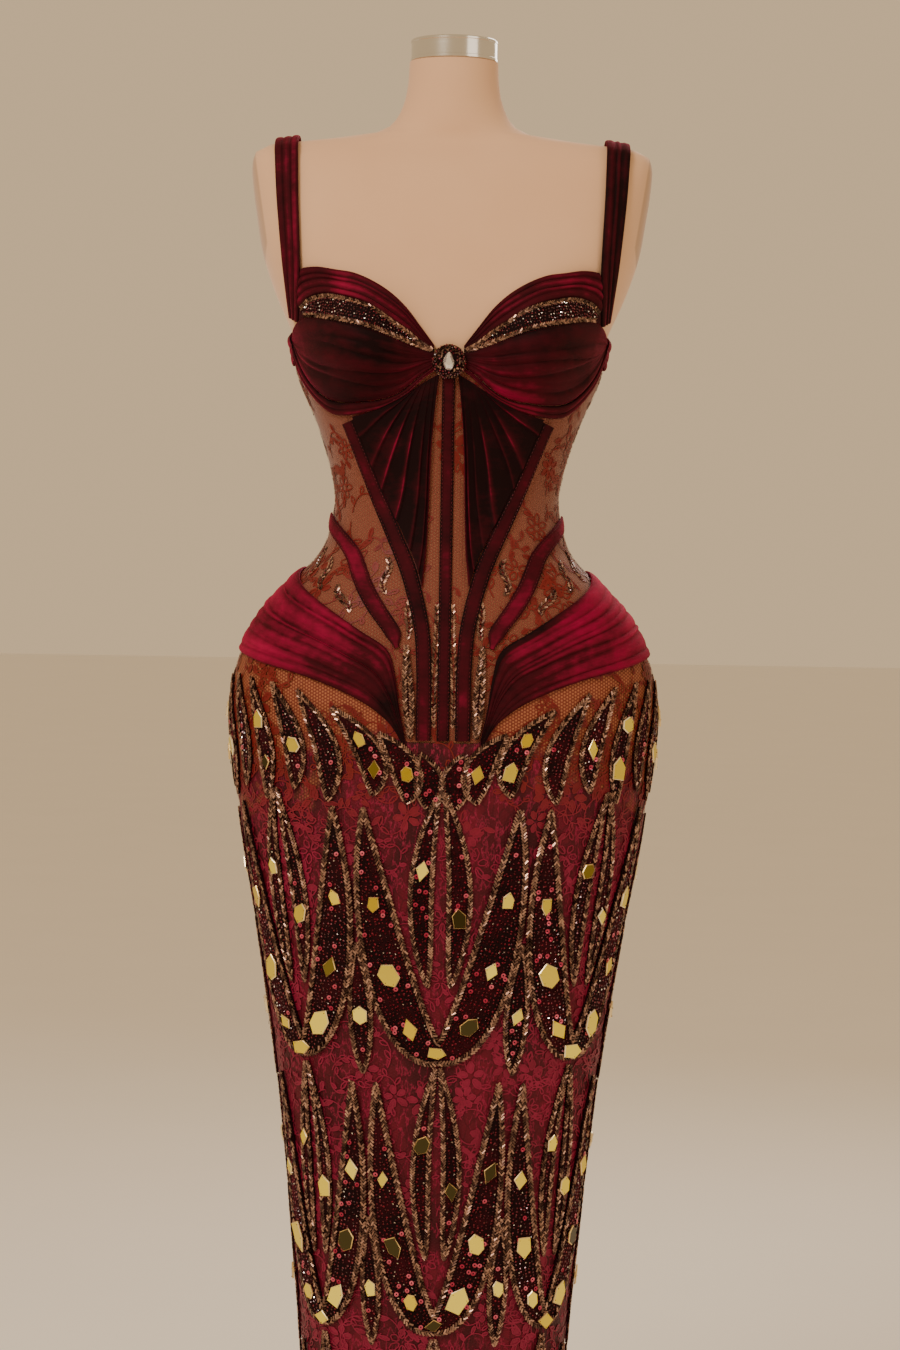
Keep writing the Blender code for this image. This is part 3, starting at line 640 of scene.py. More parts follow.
def velvet(name, settings, lit, keen, gain):
    """Short-pile velvet, near black to crimson. Its base colour carries painted light: a painted highlight on
    fold ridges with painted shade in the troughs, the painted light and shade of the tone attribute, and the lit
    offset; the random nap patches and crush streaks are the cloth's own.
    """
    made, tree, shader = new_finish(name)
    at = cloth_map(tree)
    fold = node(tree, "Attribute", attribute_name="fold").outputs["Fac"]
    # Painted light and shade laid on each piece as its tone attribute.
    tone = node(tree, "Attribute", attribute_name="tone").outputs["Fac"]
    brushed = noise(tree, at, 24.0, 4.0)
    crushed = noise(tree, stretch(tree, at, (60.0, 160.0, 1.0)), 1.6, 3.0)
    pile = noise(tree, at, 2400.0, 2.0)
    # Painted highlight on the fold ridges, darkest in the troughs: keen sharpens it, gain sets its strength.
    painted_ridge_highlight = maths(tree, "MULTIPLY", maths(tree, "POWER", fold, keen), gain)
    # Random nap patches; lit lifts or lowers them, making lighter and darker copies of the velvet with painted
    # light.
    patchy = maths(tree, "MULTIPLY", maths(tree, "SUBTRACT", brushed, 0.48 - lit), 1.1)
    streaked = maths(tree, "MULTIPLY", maths(tree, "SUBTRACT", crushed, 0.5), 0.30)
    shade = maths(tree, "ADD", maths(tree, "ADD", painted_ridge_highlight, patchy), maths(tree, "ADD", streaked, tone), clamp=True)
    colour = ramp(tree, shade, (0.0, settings.dark[:]), (0.45, settings.middle[:]), (1.0, settings.bright[:]))
    tree.links.new(colour, shader.inputs["Base Color"])
    rough = node(tree, "MapRange", {"Value": pile, "To Min": 0.62, "To Max": 0.92}).outputs["Result"]
    tree.links.new(rough, shader.inputs["Roughness"])
    shader.inputs["Specular IOR Level"].default_value = 0.12
    shader.inputs["Sheen Weight"].default_value = settings.sheen
    shader.inputs["Sheen Roughness"].default_value = 0.32
    shader.inputs["Sheen Tint"].default_value = (*settings.glow[:], 1.0)
    bump(tree, shader, maths(tree, "ADD", pile, crushed), 0.35, 0.0006)
    return made


def lace_net(settings):
    """Fine tan net with a red thread, see-through between its threads."""
    made, tree, shader = new_finish("lace_net")
    at = cloth_map(tree)
    thread = net_threads(tree, at, settings.pitch)
    cloudy = noise(tree, at, 30.0, 3.0)
    colour = mix_colour(tree, cloudy, settings.net_shade[:], settings.net_light[:])
    tree.links.new(mix_colour(tree, thread, colour, settings.thread[:]), shader.inputs["Base Color"])
    alpha = node(tree, "MapRange", {"Value": thread, "To Min": 0.50, "To Max": 0.96}).outputs["Result"]
    tree.links.new(alpha, shader.inputs["Alpha"])
    rough = node(tree, "MapRange", {"Value": thread, "To Min": 0.6, "To Max": 0.85}).outputs["Result"]
    tree.links.new(rough, shader.inputs["Roughness"])
    shader.inputs["Sheen Weight"].default_value = 0.25
    bump(tree, shader, thread, 0.4, 0.0004)
    return made


def skirt_ground(settings):
    """Wine lining under crimson lace, with tan net showing between the beads near the hips."""
    made, tree, shader = new_finish("skirt_lace")
    at = cloth_map(tree)
    height = node(tree, "SeparateXYZ", {0: position(tree)}).outputs["Z"]
    petals = node(tree, "TexVoronoi", {"Vector": stretch(tree, at, (1.0, 0.55, 1.0)), "Scale": 120.0,
                                       "Randomness": 1.0}, feature="DISTANCE_TO_EDGE").outputs["Distance"]
    drift = noise(tree, stretch(tree, at, (1.0, 0.40, 1.0)), 95.0, 4.0, 0.60)
    worms = maths(tree, "ABSOLUTE", maths(tree, "SUBTRACT", drift, 0.5))
    streak = node(tree, "MapRange", {"Value": worms, "From Min": 0.035, "From Max": 0.0}).outputs["Result"]
    patch = noise(tree, stretch(tree, at, (1.0, 0.5, 1.0)), 20.0, 2.0)
    cloth = ramp(tree, patch, (0.36, settings.wine[:]), (0.62, settings.lace_low[:]))
    cloth = mix_colour(tree, maths(tree, "MULTIPLY", streak, 0.75), cloth, settings.lace_high[:])
    veins = node(tree, "MapRange", {"Value": petals, "From Min": 0.10, "From Max": 0.0}).outputs["Result"]
    cloth = mix_colour(tree, maths(tree, "MULTIPLY", veins, 0.55), cloth, settings.wine[:])
    figured = maths(tree, "ADD", streak, maths(tree, "MULTIPLY", veins, -0.5))
    thread = net_threads(tree, at, settings.pitch)
    bare = mix_colour(tree, thread, settings.net_light[:], settings.thread[:])
    edge = maths(tree, "MULTIPLY_ADD", noise(tree, at, 22.0, 3.0), 0.20)
    tree.nodes[-1].inputs[2].default_value = -0.10
    out = maths(tree, "ABSOLUTE", node(tree, "SeparateXYZ", {0: position(tree)}).outputs["X"])
    fall = maths(tree, "MULTIPLY", maths(tree, "MINIMUM", out, 0.12), 0.45)
    level = maths(tree, "ADD", maths(tree, "ADD", height, edge), maths(tree, "SUBTRACT", fall, 0.050))
    tan = node(tree, "MapRange", {"Value": level, "From Min": settings.tan_from,
                                  "From Max": settings.tan_from + 0.035})
    tree.links.new(mix_colour(tree, tan.outputs["Result"], cloth, bare), shader.inputs["Base Color"])
    rough = node(tree, "MapRange", {"Value": drift, "To Min": 0.42, "To Max": 0.72}).outputs["Result"]
    tree.links.new(rough, shader.inputs["Roughness"])
    shader.inputs["Specular IOR Level"].default_value = 0.22
    bump(tree, shader, maths(tree, "ADD", figured, maths(tree, "MULTIPLY", thread, 0.5)), 0.6, 0.0006)
    return made


def lace_cord(settings):
    """Satin cord of the raised lace, rust on the bodice and crimson down the skirt."""
    made, tree, shader = new_finish("lace_cord")
    at = position(tree)
    height = node(tree, "SeparateXYZ", {0: at}).outputs["Z"]
    level = node(tree, "MapRange", {"Value": height, "From Min": settings.tan_from - 0.06,
                                    "From Max": settings.tan_from + 0.02}).outputs["Result"]
    low = mix_colour(tree, noise(tree, at, 55.0, 3.0), settings.lace_low[:], settings.lace_high[:])
    high = mix_colour(tree, noise(tree, at, 70.0, 3.0), settings.rust[:], settings.rust_light[:])
    tree.links.new(mix_colour(tree, level, low, high), shader.inputs["Base Color"])
    shine = noise(tree, at, 900.0, 2.0)
    tree.links.new(node(tree, "MapRange", {"Value": shine, "To Min": 0.32, "To Max": 0.6}).outputs["Result"],
                   shader.inputs["Roughness"])
    shader.inputs["Specular IOR Level"].default_value = 0.25
    bump(tree, shader, shine, 0.5, 0.0003)
    return made


def bead_finish(name, dark, light, metallic, roughness, coat=0.0, spread=0.18):
    """Glass or metal beads whose colour differs from bead to bead."""
    made, tree, shader = new_finish(name)
    each = node(tree, "NewGeometry").outputs["Random Per Island"]
    tree.links.new(mix_colour(tree, maths(tree, "POWER", each, 1.6), dark, light), shader.inputs["Base Color"])
    shader.inputs["Metallic"].default_value = metallic
    again = maths(tree, "FRACT", maths(tree, "MULTIPLY", each, 7.31))
    rough = node(tree, "MapRange", {"Value": again, "To Min": roughness, "To Max": roughness + spread})
    tree.links.new(rough.outputs["Result"], shader.inputs["Roughness"])
    shader.inputs["Coat Weight"].default_value = coat
    return made


def mirror_finish(settings):
    """Gold cut mirror; a few pieces painted dark as if reflecting dark surroundings."""
    made, tree, shader = new_finish("gold_mirror")
    each = node(tree, "NewGeometry").outputs["Random Per Island"]
    tone = ramp(tree, each, (0.0, settings.painted_dark_reflection[:]), (0.10, settings.painted_dark_reflection[:]), (0.14, settings.gold_deep[:]),
                (1.0, settings.gold[:]))
    tree.links.new(tone, shader.inputs["Base Color"])
    shader.inputs["Metallic"].default_value = 1.0
    fine = noise(tree, position(tree), 180.0, 2.0)
    tree.links.new(node(tree, "MapRange", {"Value": fine, "To Min": 0.10, "To Max": 0.24}).outputs["Result"],
                   shader.inputs["Roughness"])
    return made


def jersey(settings):
    """Fine stretch jersey drawn smooth over the form."""
    made, tree, shader = new_finish("form_jersey")
    at = cloth_map(tree)
    along_rib = stretch(tree, at, (1.0, 0.04, 1.0))
    rib = node(tree, "TexWave", {"Vector": along_rib, "Scale": 320.0, "Distortion": 0.6},
               wave_type="BANDS", bands_direction="X").outputs["Fac"]
    grain = noise(tree, at, 1500.0, 2.0)
    cloudy = noise(tree, at, 9.0, 4.0)
    colour = mix_colour(tree, cloudy, settings.jersey_shade[:], settings.jersey_light[:])
    colour = mix_colour(tree, maths(tree, "MULTIPLY", grain, 0.18), colour, settings.jersey_shade[:])
    place = node(tree, "SeparateXYZ", {0: position(tree)})
    # Painted shade: past the edge of each flat armhole side plate the jersey is darkened towards 0.62 of its
    # shade colour, where the form turns sideways.
    out = maths(tree, "SUBTRACT", maths(tree, "ABSOLUTE", place.outputs["X"]), 0.168)
    above_plate = maths(tree, "SUBTRACT", place.outputs["Z"], 1.318)
    rise = maths(tree, "MULTIPLY", maths(tree, "ABSOLUTE", above_plate), 0.16)
    painted_plate_shade = node(tree, "MapRange", {"Value": maths(tree, "SUBTRACT", out, rise), "From Min": -0.0006,
                                    "From Max": 0.0010, "To Max": 0.85}).outputs["Result"]
    tree.links.new(mix_colour(tree, painted_plate_shade, colour, [c * 0.62 for c in settings.jersey_shade[:]]),
                   shader.inputs["Base Color"])
    tree.links.new(node(tree, "MapRange", {"Value": grain, "To Min": 0.72, "To Max": 0.95}).outputs["Result"],
                   shader.inputs["Roughness"])
    shader.inputs["Sheen Weight"].default_value = 0.3
    shader.inputs["Sheen Roughness"].default_value = 0.5
    bump(tree, shader, maths(tree, "ADD", maths(tree, "MULTIPLY", rib, 0.3), grain), 0.25, 0.0003)
    return made


def brushed_metal(name, colour, low, high):
    """Bright turned metal with fine lines round it."""
    made, tree, shader = new_finish(name)
    at = position(tree)
    lines = noise(tree, stretch(tree, at, (3.0, 3.0, 900.0)), 1.0, 2.0)
    smudge = noise(tree, at, 12.0, 4.0)
    shader.inputs["Metallic"].default_value = 1.0
    tree.links.new(mix_colour(tree, smudge, [c * 0.8 for c in colour], colour), shader.inputs["Base Color"])
    tree.links.new(node(tree, "MapRange", {"Value": lines, "To Min": low, "To Max": high}).outputs["Result"],
                   shader.inputs["Roughness"])
    bump(tree, shader, lines, 0.08, 0.0002)
    return made


def cut_crystal():
    """Clear cut stone with a pale foil behind it."""
    made, tree, shader = new_finish("crystal")
    glint = noise(tree, position(tree), 240.0, 1.0)
    tree.links.new(mix_colour(tree, glint, (0.95, 0.84, 0.70), (0.80, 0.86, 0.95)), shader.inputs["Base Color"])
    tree.links.new(node(tree, "MapRange", {"Value": glint, "To Min": 0.02, "To Max": 0.08}).outputs["Result"],
                   shader.inputs["Roughness"])
    shader.inputs["Metallic"].default_value = 0.55
    shader.inputs["Transmission Weight"].default_value = 0.4
    shader.inputs["IOR"].default_value = 1.6
    shader.inputs["Coat Weight"].default_value = 1.0
    return made


def finish(name, make, *arguments):
    """The material of this name, made when a piece first needs it."""
    found = bpy.data.materials.get("dress_" + name)
    if found:
        return found
    made = make(*arguments)
    made.name = "dress_" + name
    return made


# Copies of one velvet that differ in painted light: lit makes a copy lighter or darker all over, keen and gain
# shape the painted highlight on its fold ridges. The second is a lighter copy with more painted light, the
# pleated one has sharp painted highlights along the pleat edges, and the beaded ground is the darkest.
def plain_velvet():
    return finish("velvet", velvet, "velvet", bpy.context.scene.dress_velvet, -0.10, 1.6, 0.44)


def bright_velvet():
    return finish("bright_velvet", velvet, "bright_velvet", bpy.context.scene.dress_velvet, 0.12, 1.3, 0.40)


def pleated_velvet():
    return finish("pleated_velvet", velvet, "pleated_velvet", bpy.context.scene.dress_velvet, -0.04, 5.0, 0.85)


def beaded_cloth():
    return finish("beaded_cloth", velvet, "beaded_cloth", bpy.context.scene.dress_velvet, -0.12, 1.0, 0.20)


def seed_beads():
    dark, light = (0.035, 0.001, 0.004), (0.22, 0.012, 0.03)
    return finish("seed_beads", bead_finish, "seed_beads", dark, light, 0.15, 0.12, 0.6)


def bugle_beads():
    dark, light = (0.040, 0.015, 0.012), (0.50, 0.29, 0.21)
    return finish("bugle_beads", bead_finish, "bugle_beads", dark, light, 0.80, 0.20)


def sequin_discs():
    return finish("sequins", bead_finish, "sequins", (0.35, 0.02, 0.06), (0.75, 0.16, 0.24), 0.7, 0.12)


def silver_beads():
    return finish("silver_beads", bead_finish, "silver_beads", (0.75, 0.70, 0.68), (1.0, 0.97, 0.93), 1.0, 0.03)


def stitch_thread():
    return finish("thread", bead_finish, "thread", (0.10, 0.002, 0.010), (0.20, 0.006, 0.022), 0.0, 0.5)


def lace_threads():
    return finish("lace_cord", lace_cord, bpy.context.scene.dress_lace)


# Places of the cloth pieces

def cup_edges(degrees):
    rows = along(CUPS, degrees)
    return {name: rows[..., i] for i, name in enumerate(CUP_COLUMNS[1:])}


def cup_ribbon(side, low, high, low_end, high_end):
    """Place on a piece of the cup between two of its edges, from the brooch outward."""
    first = CUPS[0, 0]

    def place(u, v):
        degrees = first + u * (low_end + v * (high_end - low_end) - first)
        edges = cup_edges(degrees)
        length = np.abs(edges[high] - edges[low])
        inset = SEAM_GAP / 2 / length
        share = inset + v * (1 - 2 * inset)
        return side * degrees, edges[low] + (edges[high] - edges[low]) * share
    return place


def casing_line(height):
    return column(INNER_CASING[:, ::-1], height)


def net_top(degrees):
    edges = cup_edges(degrees)
    front = edges["band_low"] + NET_UNDER_BAND * (edges["cup_low"] - edges["band_low"])
    top, low = np.moveaxis(along(BACK_BAND, degrees), -1, 0)
    return np.where(degrees < CUPS[-1, 0], front, low + NET_UNDER_BAND * (top - low))


def net_bottom(degrees):
    return np.where(degrees <= 10.0, NET_BOTTOM_FRONT, column(SKIRT_TOP, degrees) + NET_ABOVE_SKIRT)


def net_places(side):
    """Places of the three net panels on one side."""
    seam_low, seam_high = INNER_CASING[0, 0], INNER_CASING[-1, 0]

    def centre(u, v):
        top = net_top(u * seam_high)
        height = NET_BOTTOM_FRONT + v * (top - NET_BOTTOM_FRONT)
        return side * (NET_INSET + u * (casing_line(height) - 2 * NET_INSET)), height

    def side_front(u, v):
        low = net_bottom(seam_low + u * (90.0 - seam_low))
        top = net_top(seam_high + u * (90.0 - seam_high))
        height = low + v * (top - low)
        start = casing_line(height)
        return side * (start + NET_INSET + u * (90.0 - start - 2 * NET_INSET)), height

    def back(u, v):
        degrees = 90.0 + NET_INSET + u * (90.0 - 2 * NET_INSET)
        low, top = net_bottom(degrees), net_top(degrees)
        return side * degrees, low + v * (top - low)

    return {"centre": centre, "side": side_front, "back": back}


def skirt_place(start, end):
    """Place on the skirt. Its top stays level at the centre front, where the curve through the table dips."""
    def place(u, v):
        degrees = start + u * (end - start)
        top = np.maximum(column(SKIRT_TOP, np.abs(degrees)), SKIRT_TOP[0, 1])
        return degrees, HEM_HEIGHT + v * (top - HEM_HEIGHT)
    return place


def hip_place(side, first, last):
    """Place on the hip drape between two of its stations."""
    end = len(HIP_DRAPE) - 1

    def place(u, v):
        low_degrees, low, up_degrees, up = on_route(HIP_DRAPE, (first + u * (last - first)) / end)
        return side * (low_degrees + v * (up_degrees - low_degrees)), low + v * (up - low)
    return place


def degrees_at(across, height, behind):
    low, high = 0.0, 90.0
    for _ in range(30):
        middle = (low + high) / 2
        if figure(middle, height)[0] < across:
            low = middle
        else:
            high = middle
    return 180.0 - low if behind else low


def sprig_shapes():
    """Route and width of every large sprig, by the name of its node."""
    shapes = {}
    for face, stems in (("front", SPRIG_FRONT_STEMS), ("back", SPRIG_BACK_STEMS)):
        for i, stem in enumerate(stems):
            for row in range(SPRIG_ROWS):
                root = SPRIG_LOWEST + row * SPRIG_PITCH
                shapes[f"sprig_{face}_{i}_{row}"] = leaf_pair(stem, root, SPRIG_RISE, SPRIG_SPREAD, 1.0)
    return shapes


def leaf_pair(stem, root, rise, spread, plump):
    """Two curved leaves that meet in a U."""

    def route(share):
        turn = math.pi * (share - 0.5)
        return stem + spread * np.sin(turn), root + rise * (1 - np.cos(turn))

    def width(share):
        reach = np.abs(2 * share - 1)
        leaf = np.maximum(0.0, np.sin(math.pi * np.minimum(1.0, 0.08 + 0.92 * reach) ** 1.1)) ** 0.8
        wide = SPRIG_WAIST_DEGREES * (1 - reach) + SPRIG_LEAF_DEGREES * leaf
        return plump * (wide + 1.0) * metres_per_degree(*route(share))

    return route, width


def small_leaf(stem, low, high, bow, wide, lean=0.0):
    """One upright leaf, bowed and leaning to a side, wide degrees across."""

    def route(share):
        return stem + lean * share**1.5 + bow * np.sin(math.pi * share), low + share * (high - low)

    def width(share):
        leaf = np.maximum(0.0, np.sin(math.pi * np.clip(share, 0.0, 1.0) ** 0.8)) ** 0.8
        return (wide * leaf + 0.8) * metres_per_degree(*route(share))

    return route, width


def leaves_between():
    """Route, width and mirror places of the small leaves between the large sprigs and at the hips."""
    leaves = []
    stems = SPRIG_FRONT_STEMS + SPRIG_BACK_STEMS
    for row in range(SPRIG_ROWS):
        root = SPRIG_LOWEST + row * SPRIG_PITCH
        for stem in stems:
            for way in (-1.0, 1.0):
                shape = small_leaf(stem + 3.4 * way, root + 0.060, root + 0.236, 2.8 * way, 6.4, -2.6 * way)
                leaves.append((*shape, (0.36,) if way > 0 else (0.60,)))
        for gap in (-25.0, 25.0):
            leaves.append((*small_leaf(gap, root - 0.020, root + 0.098, 0.0, 8.0), (0.45,)))
        for gap in (-93.0, 93.0):
            for way in (-1.0, 1.0):
                bowed = small_leaf(gap + 4.6 * way, root - 0.035, root + 0.110, 3.4 * way, 7.0, -3.0 * way)
                leaves.append((*bowed, (0.45,)))
            leaves.append((*small_leaf(gap, root + 0.112, root + 0.212, -1.5, 8.0), (0.45,)))
        for gap in (-169.0, 169.0):
            leaves.append((*small_leaf(gap, root - 0.010, root + 0.120, 1.5, 8.0), (0.45,)))
            leaves.append((*small_leaf(gap, root + 0.130, root + 0.215, -1.5, 6.5), (0.50,)))
    for way in (-1.0, 1.0):
        leaves.append((*small_leaf(way * 8.1, 0.870, 0.952, 0.0, 2.0, way * 1.9), ()))
        for i, (stem, low, reach, bow, lean) in enumerate((
            (3.5, 0.806, 0.050, 1.0, 2.0), (9.0, 0.812, 0.062, 2.2, 7.0), (18.0, 0.818, 0.078, 3.2, 11.0),
            (31.0, 0.812, 0.098, 3.4, 9.0), (42.0, 0.822, 0.094, 3.2, 8.5), (54.0, 0.812, 0.108, 3.4, 8.0),
            (66.0, 0.822, 0.100, 3.2, 7.0), (78.0, 0.812, 0.108, 3.0, 6.0), (91.0, 0.818, 0.106, 3.0, 6.0),
            (105.0, 0.812, 0.112, 3.0, 6.0), (119.0, 0.820, 0.106, 3.0, 6.0), (133.0, 0.812, 0.112, 3.0, 6.0),
            (147.0, 0.820, 0.106, 3.0, 6.0), (160.0, 0.812, 0.108, 2.5, 5.0),
        )):
            leaves.append((*small_leaf(way * stem, low, low + reach, -way * bow, 7.2, way * lean),
                           ((), (0.42,), (0.30, 0.66))[i % 3]))
    return leaves


def bodice_twigs():
    """Routes of the thin bead twigs in the net windows above the skirt, each side alike."""
    twigs = []
    for side, _ in SIDES:
        for start, end, low, high, bow in ((2.25, 2.4, 0.880, 0.990, 0.3), (9.9, 10.8, 0.958, 0.994, -0.4),
                                           (19.5, 24.5, 0.998, 1.030, 1.2), (29.5, 40.0, 0.981, 1.004, -1.2),
                                           (47.0, 58.0, 1.000, 1.028, 1.5), (65.0, 72.0, 1.012, 1.038, -1.5)):
            def route(share, side=side, start=start, end=end, low=low, high=high, bow=bow):
                degrees = start + (end - start) * share + bow * np.sin(2 * math.pi * share)
                return side * degrees, low + share * (high - low)
            twigs.append(route)
    return twigs


# Small shapes, each as corners and faces

def bugle_shape(sides=3):
    """A short faceted tube along its first axis, with ends."""
    turns = [-math.pi / 2 + 2 * math.pi * k / sides for k in range(sides)]
    corners = [(x, math.cos(turn) * 0.56, math.sin(turn) * 0.56) for x in (-0.5, 0.5) for turn in turns]
    faces = [(sides + k, sides + (k + 1) % sides, (k + 1) % sides, k) for k in range(sides)]
    return np.array(corners), faces + [tuple(range(sides)), tuple(reversed(range(sides, 2 * sides)))]


def round_shape():
    """A small bead with six corners."""
    corners = 0.5 * np.array([(1, 0, 0), (0, 1, 0), (-1, 0, 0), (0, -1, 0), (0, 0, 1), (0, 0, -1)], float)
    faces = [(k, (k + 1) % 4, 4) for k in range(4)] + [((k + 1) % 4, k, 5) for k in range(4)]
    return corners, faces


def ring_shape(sides=8):
    """A flat sequin with a hole, cupped a little."""
    turns = [2 * math.pi * k / sides for k in range(sides)]
    corners = [(0.5 * math.cos(t), 0.5 * math.sin(t), 0.10) for t in turns]
    corners += [(0.17 * math.cos(t), 0.17 * math.sin(t), 0.0) for t in turns]
    faces = [(k, (k + 1) % sides, sides + (k + 1) % sides, sides + k) for k in range(sides)]
    return np.array(corners), faces


# Beadwork

def unit_along(route, share):
    behind = figure(*route(np.maximum(share - 0.004, 0.0)))
    return unit(figure(*route(np.minimum(share + 0.004, 1.0))) - behind)


def surface_frame(degrees, height, ahead):
    """Outward normals there, and the direction ahead drawn into the surface."""
    normal = outward(degrees, height)
    return normal, unit(ahead - (ahead * normal).sum(-1, keepdims=True) * normal)


def rope_of_bugles(route, width, spacing, length, offset, shares=(0.0, 1.0), rows=2):
    """Both edges of a leaf in a chevron rope of two rows of bugle beads: points and frames."""
    samples = np.linspace(shares[0], shares[1], 240)
    points, frames = [], []
    for edge in (0.0, 1.0):
        for row, lean in ((0, 0.62), (1, -0.62))[:rows]:
            inset = (0.45 + row) * length * 0.62

            def at(share):
                wide = np.maximum(width(share), 2 * length)
                sideways = np.clip(inset / wide, 0.0, 0.5)
                return ribbon_place(route, width, sideways if edge == 0.0 else 1 - sideways, share)

            path = figure(*at(samples))
            run = np.concatenate([[0.0], np.cumsum(np.linalg.norm(np.diff(path, axis=0), axis=1))])
            steps = np.arange(spacing * (0.5 + 0.5 * row), run[-1], spacing)
            share = np.interp(steps, run, samples)
            degrees, height = at(share)
            normal, ahead = surface_frame(degrees, height, unit_along(route, share))
            points.append(off_figure(degrees, height, np.full_like(share, offset)))
            turn = np.full(len(share), lean if edge == 0.0 else -lean)
            roll = np.random.default_rng(len(share)).uniform(-0.75, 0.75, len(share))
            frames.append(rolled(frames_from(ahead, normal, turn), roll))
    return np.concatenate(points), np.concatenate(frames)


def leaf_fill(route, width, spacing, margin, rng):
    """Places spread over a leaf inside its ropes, in loose rows."""
    samples = np.linspace(0.01, 0.99, 200)
    path = figure(*route(samples))
    run = np.concatenate([[0.0], np.cumsum(np.linalg.norm(np.diff(path, axis=0), axis=1))])
    shares, sideways = [], []
    for step in np.arange(0.0, run[-1], spacing):
        share = float(np.interp(step, run, samples))
        wide = float(width(np.array(share)))
        count = int((wide - 2 * margin) / spacing)
        if count < 1:
            continue
        across = (np.arange(count) + 0.5) / count * (wide - 2 * margin) + margin
        across = across + rng.uniform(-0.3, 0.3, count) * spacing
        shares.append(np.clip(share + rng.uniform(-0.3, 0.3, count) * spacing / run[-1], 0, 1))
        sideways.append(across / wide)
    if not shares:
        return np.zeros(0), np.zeros(0)
    return np.concatenate(shares), np.concatenate(sideways)


def cut_mirror(sides, length, width, rng):
    """Outline of a flat cut mirror, in metres: a lozenge, a house shape or a long piece of six sides."""
    if sides == 5:
        outline = np.array([(0.5, 0.0), (0.12, 0.5), (-0.5, 0.42), (-0.5, -0.42), (0.12, -0.5)])
    elif sides == 4:
        outline = np.array([(0.5, 0.0), (0.04, 0.5), (-0.5, 0.0), (0.04, -0.5)])
    else:
        outline = np.array([(0.5, 0.0), (0.24, 0.5), (-0.26, 0.5), (-0.5, 0.0), (-0.26, -0.5), (0.24, -0.5)])
    outline = outline + rng.uniform(-0.05, 0.05, outline.shape)
    return outline * (length, width)


def mirror_piece(outline, depth, bevel):
    """Corners and faces of a cut mirror with a bevelled edge, its back on the plane."""
    sides = len(outline)
    shrunk = outline * (1 - bevel / np.maximum(np.linalg.norm(outline, axis=1, keepdims=True), 1e-6))
    corners = np.concatenate([
        np.column_stack([outline, np.zeros(sides)]),
        np.column_stack([outline, np.full(sides, depth * 0.55)]),
        np.column_stack([shrunk, np.full(sides, depth)]),
    ])
    faces = [tuple(reversed(range(sides))), tuple(range(2 * sides, 3 * sides))]
    for level in (0, 1):
        for k in range(sides):
            j = (k + 1) % sides
            low, high = level * sides, (level + 1) * sides
            faces.append((low + k, low + j, high + j, high + k))
    return corners, faces


# Lace motifs, drawn as flat ribbons of cord and small filled petals on a plane in metres

def cord_ribbon(line, width):
    """A flat ribbon along a line of points."""
    line = np.asarray(line, float)
    ahead = np.gradient(line, axis=0)
    ahead /= np.maximum(np.linalg.norm(ahead, axis=1, keepdims=True), 1e-9)
    side = np.column_stack([-ahead[:, 1], ahead[:, 0]]) * width / 2
    corners = np.concatenate([line + side, line - side])
    count = len(line)
    faces = [(k, k + 1, count + k + 1, count + k) for k in range(count - 1)]
    return corners, [face[::-1] for face in faces], np.full(len(corners), 1.0)


def petal(start, angle, length, width, cord, filled):
    """One petal: a leaf shape in cord, some filled in."""
    t = np.linspace(0, 2 * math.pi, 8)
    reach = (1 - np.cos(t)) / 2
    sway = np.sin(t) * np.sin(np.clip(reach, 0, 1) * math.pi) ** 0.35 / 2
    local = np.column_stack([reach * length, sway * width])
    turn = np.array([(math.cos(angle), math.sin(angle)), (-math.sin(angle), math.cos(angle))])
    line = local @ turn + start
    parts = [cord_ribbon(line, cord)]
    if filled:
        fill = np.concatenate([line[:-1], [line[:-1].mean(0)]])
        parts.append((fill, [(k, (k + 1) % 7, 7) for k in range(7)], np.full(8, 0.3)))
    return parts


def curl(start, angle, length, turns, cord):
    """A stem that curls in on itself."""
    t = np.linspace(0, 1, 10)
    bend = angle + turns * t**1.4
    step = length / 9
    line = start + np.cumsum(np.column_stack([np.cos(bend), np.sin(bend)]) * step, axis=0)
    return line, bend, cord_ribbon(line, cord * 0.8)


def flower(rng, size, cord):
    """A small flower or a leafy spray with curling stems, taller than it is wide."""
    parts = []
    first = rng.uniform(0, 2 * math.pi)
    filled = rng.random() < 0.45
    if rng.random() < 0.6:
        petals = int(rng.integers(5, 7))
        for k in range(petals):
            angle = first + 2 * math.pi * k / petals
            start = 0.10 * size * np.array([math.cos(angle), math.sin(angle)])
            parts += petal(start, angle, size * rng.uniform(0.30, 0.42), size * 0.22, cord, filled)
    upright = rng.choice([-1, 1]) * math.pi / 2 + rng.uniform(-0.6, 0.6)
    for way in (1, -1):
        line, bend, stem = curl(np.zeros(2), upright if way > 0 else upright + math.pi, size * 1.3,
                                way * rng.uniform(1.6, 3.2), cord)
        parts.append(stem)
        for k in (2, 5, 8):
            lean = bend[k] + rng.choice([-0.8, 0.8])
            parts += petal(line[k], lean, size * rng.uniform(0.26, 0.40), size * 0.14, cord, not filled)
    return parts


def lay_motifs(name, places, size, offset, lift, seed, cord):
    """Joins lace flowers laid on the figure round these places."""
    rng = np.random.default_rng(seed)
    points, faces, start = [], [], 0
    for degrees, height in places:
        scale = float(metres_per_degree(np.array(degrees), np.array(height)))
        for corners, motif_faces, raised in flower(rng, size * rng.uniform(0.75, 1.2), cord):
            at_degrees = degrees + corners[:, 0] / scale
            at_height = height + corners[:, 1]
            points.append(off_figure(at_degrees, at_height, offset + lift * raised))
            faces += [tuple(start + k for k in face) for face in motif_faces]
            start += len(corners)
    return add_piece(name, np.concatenate(points), faces, lace_threads())


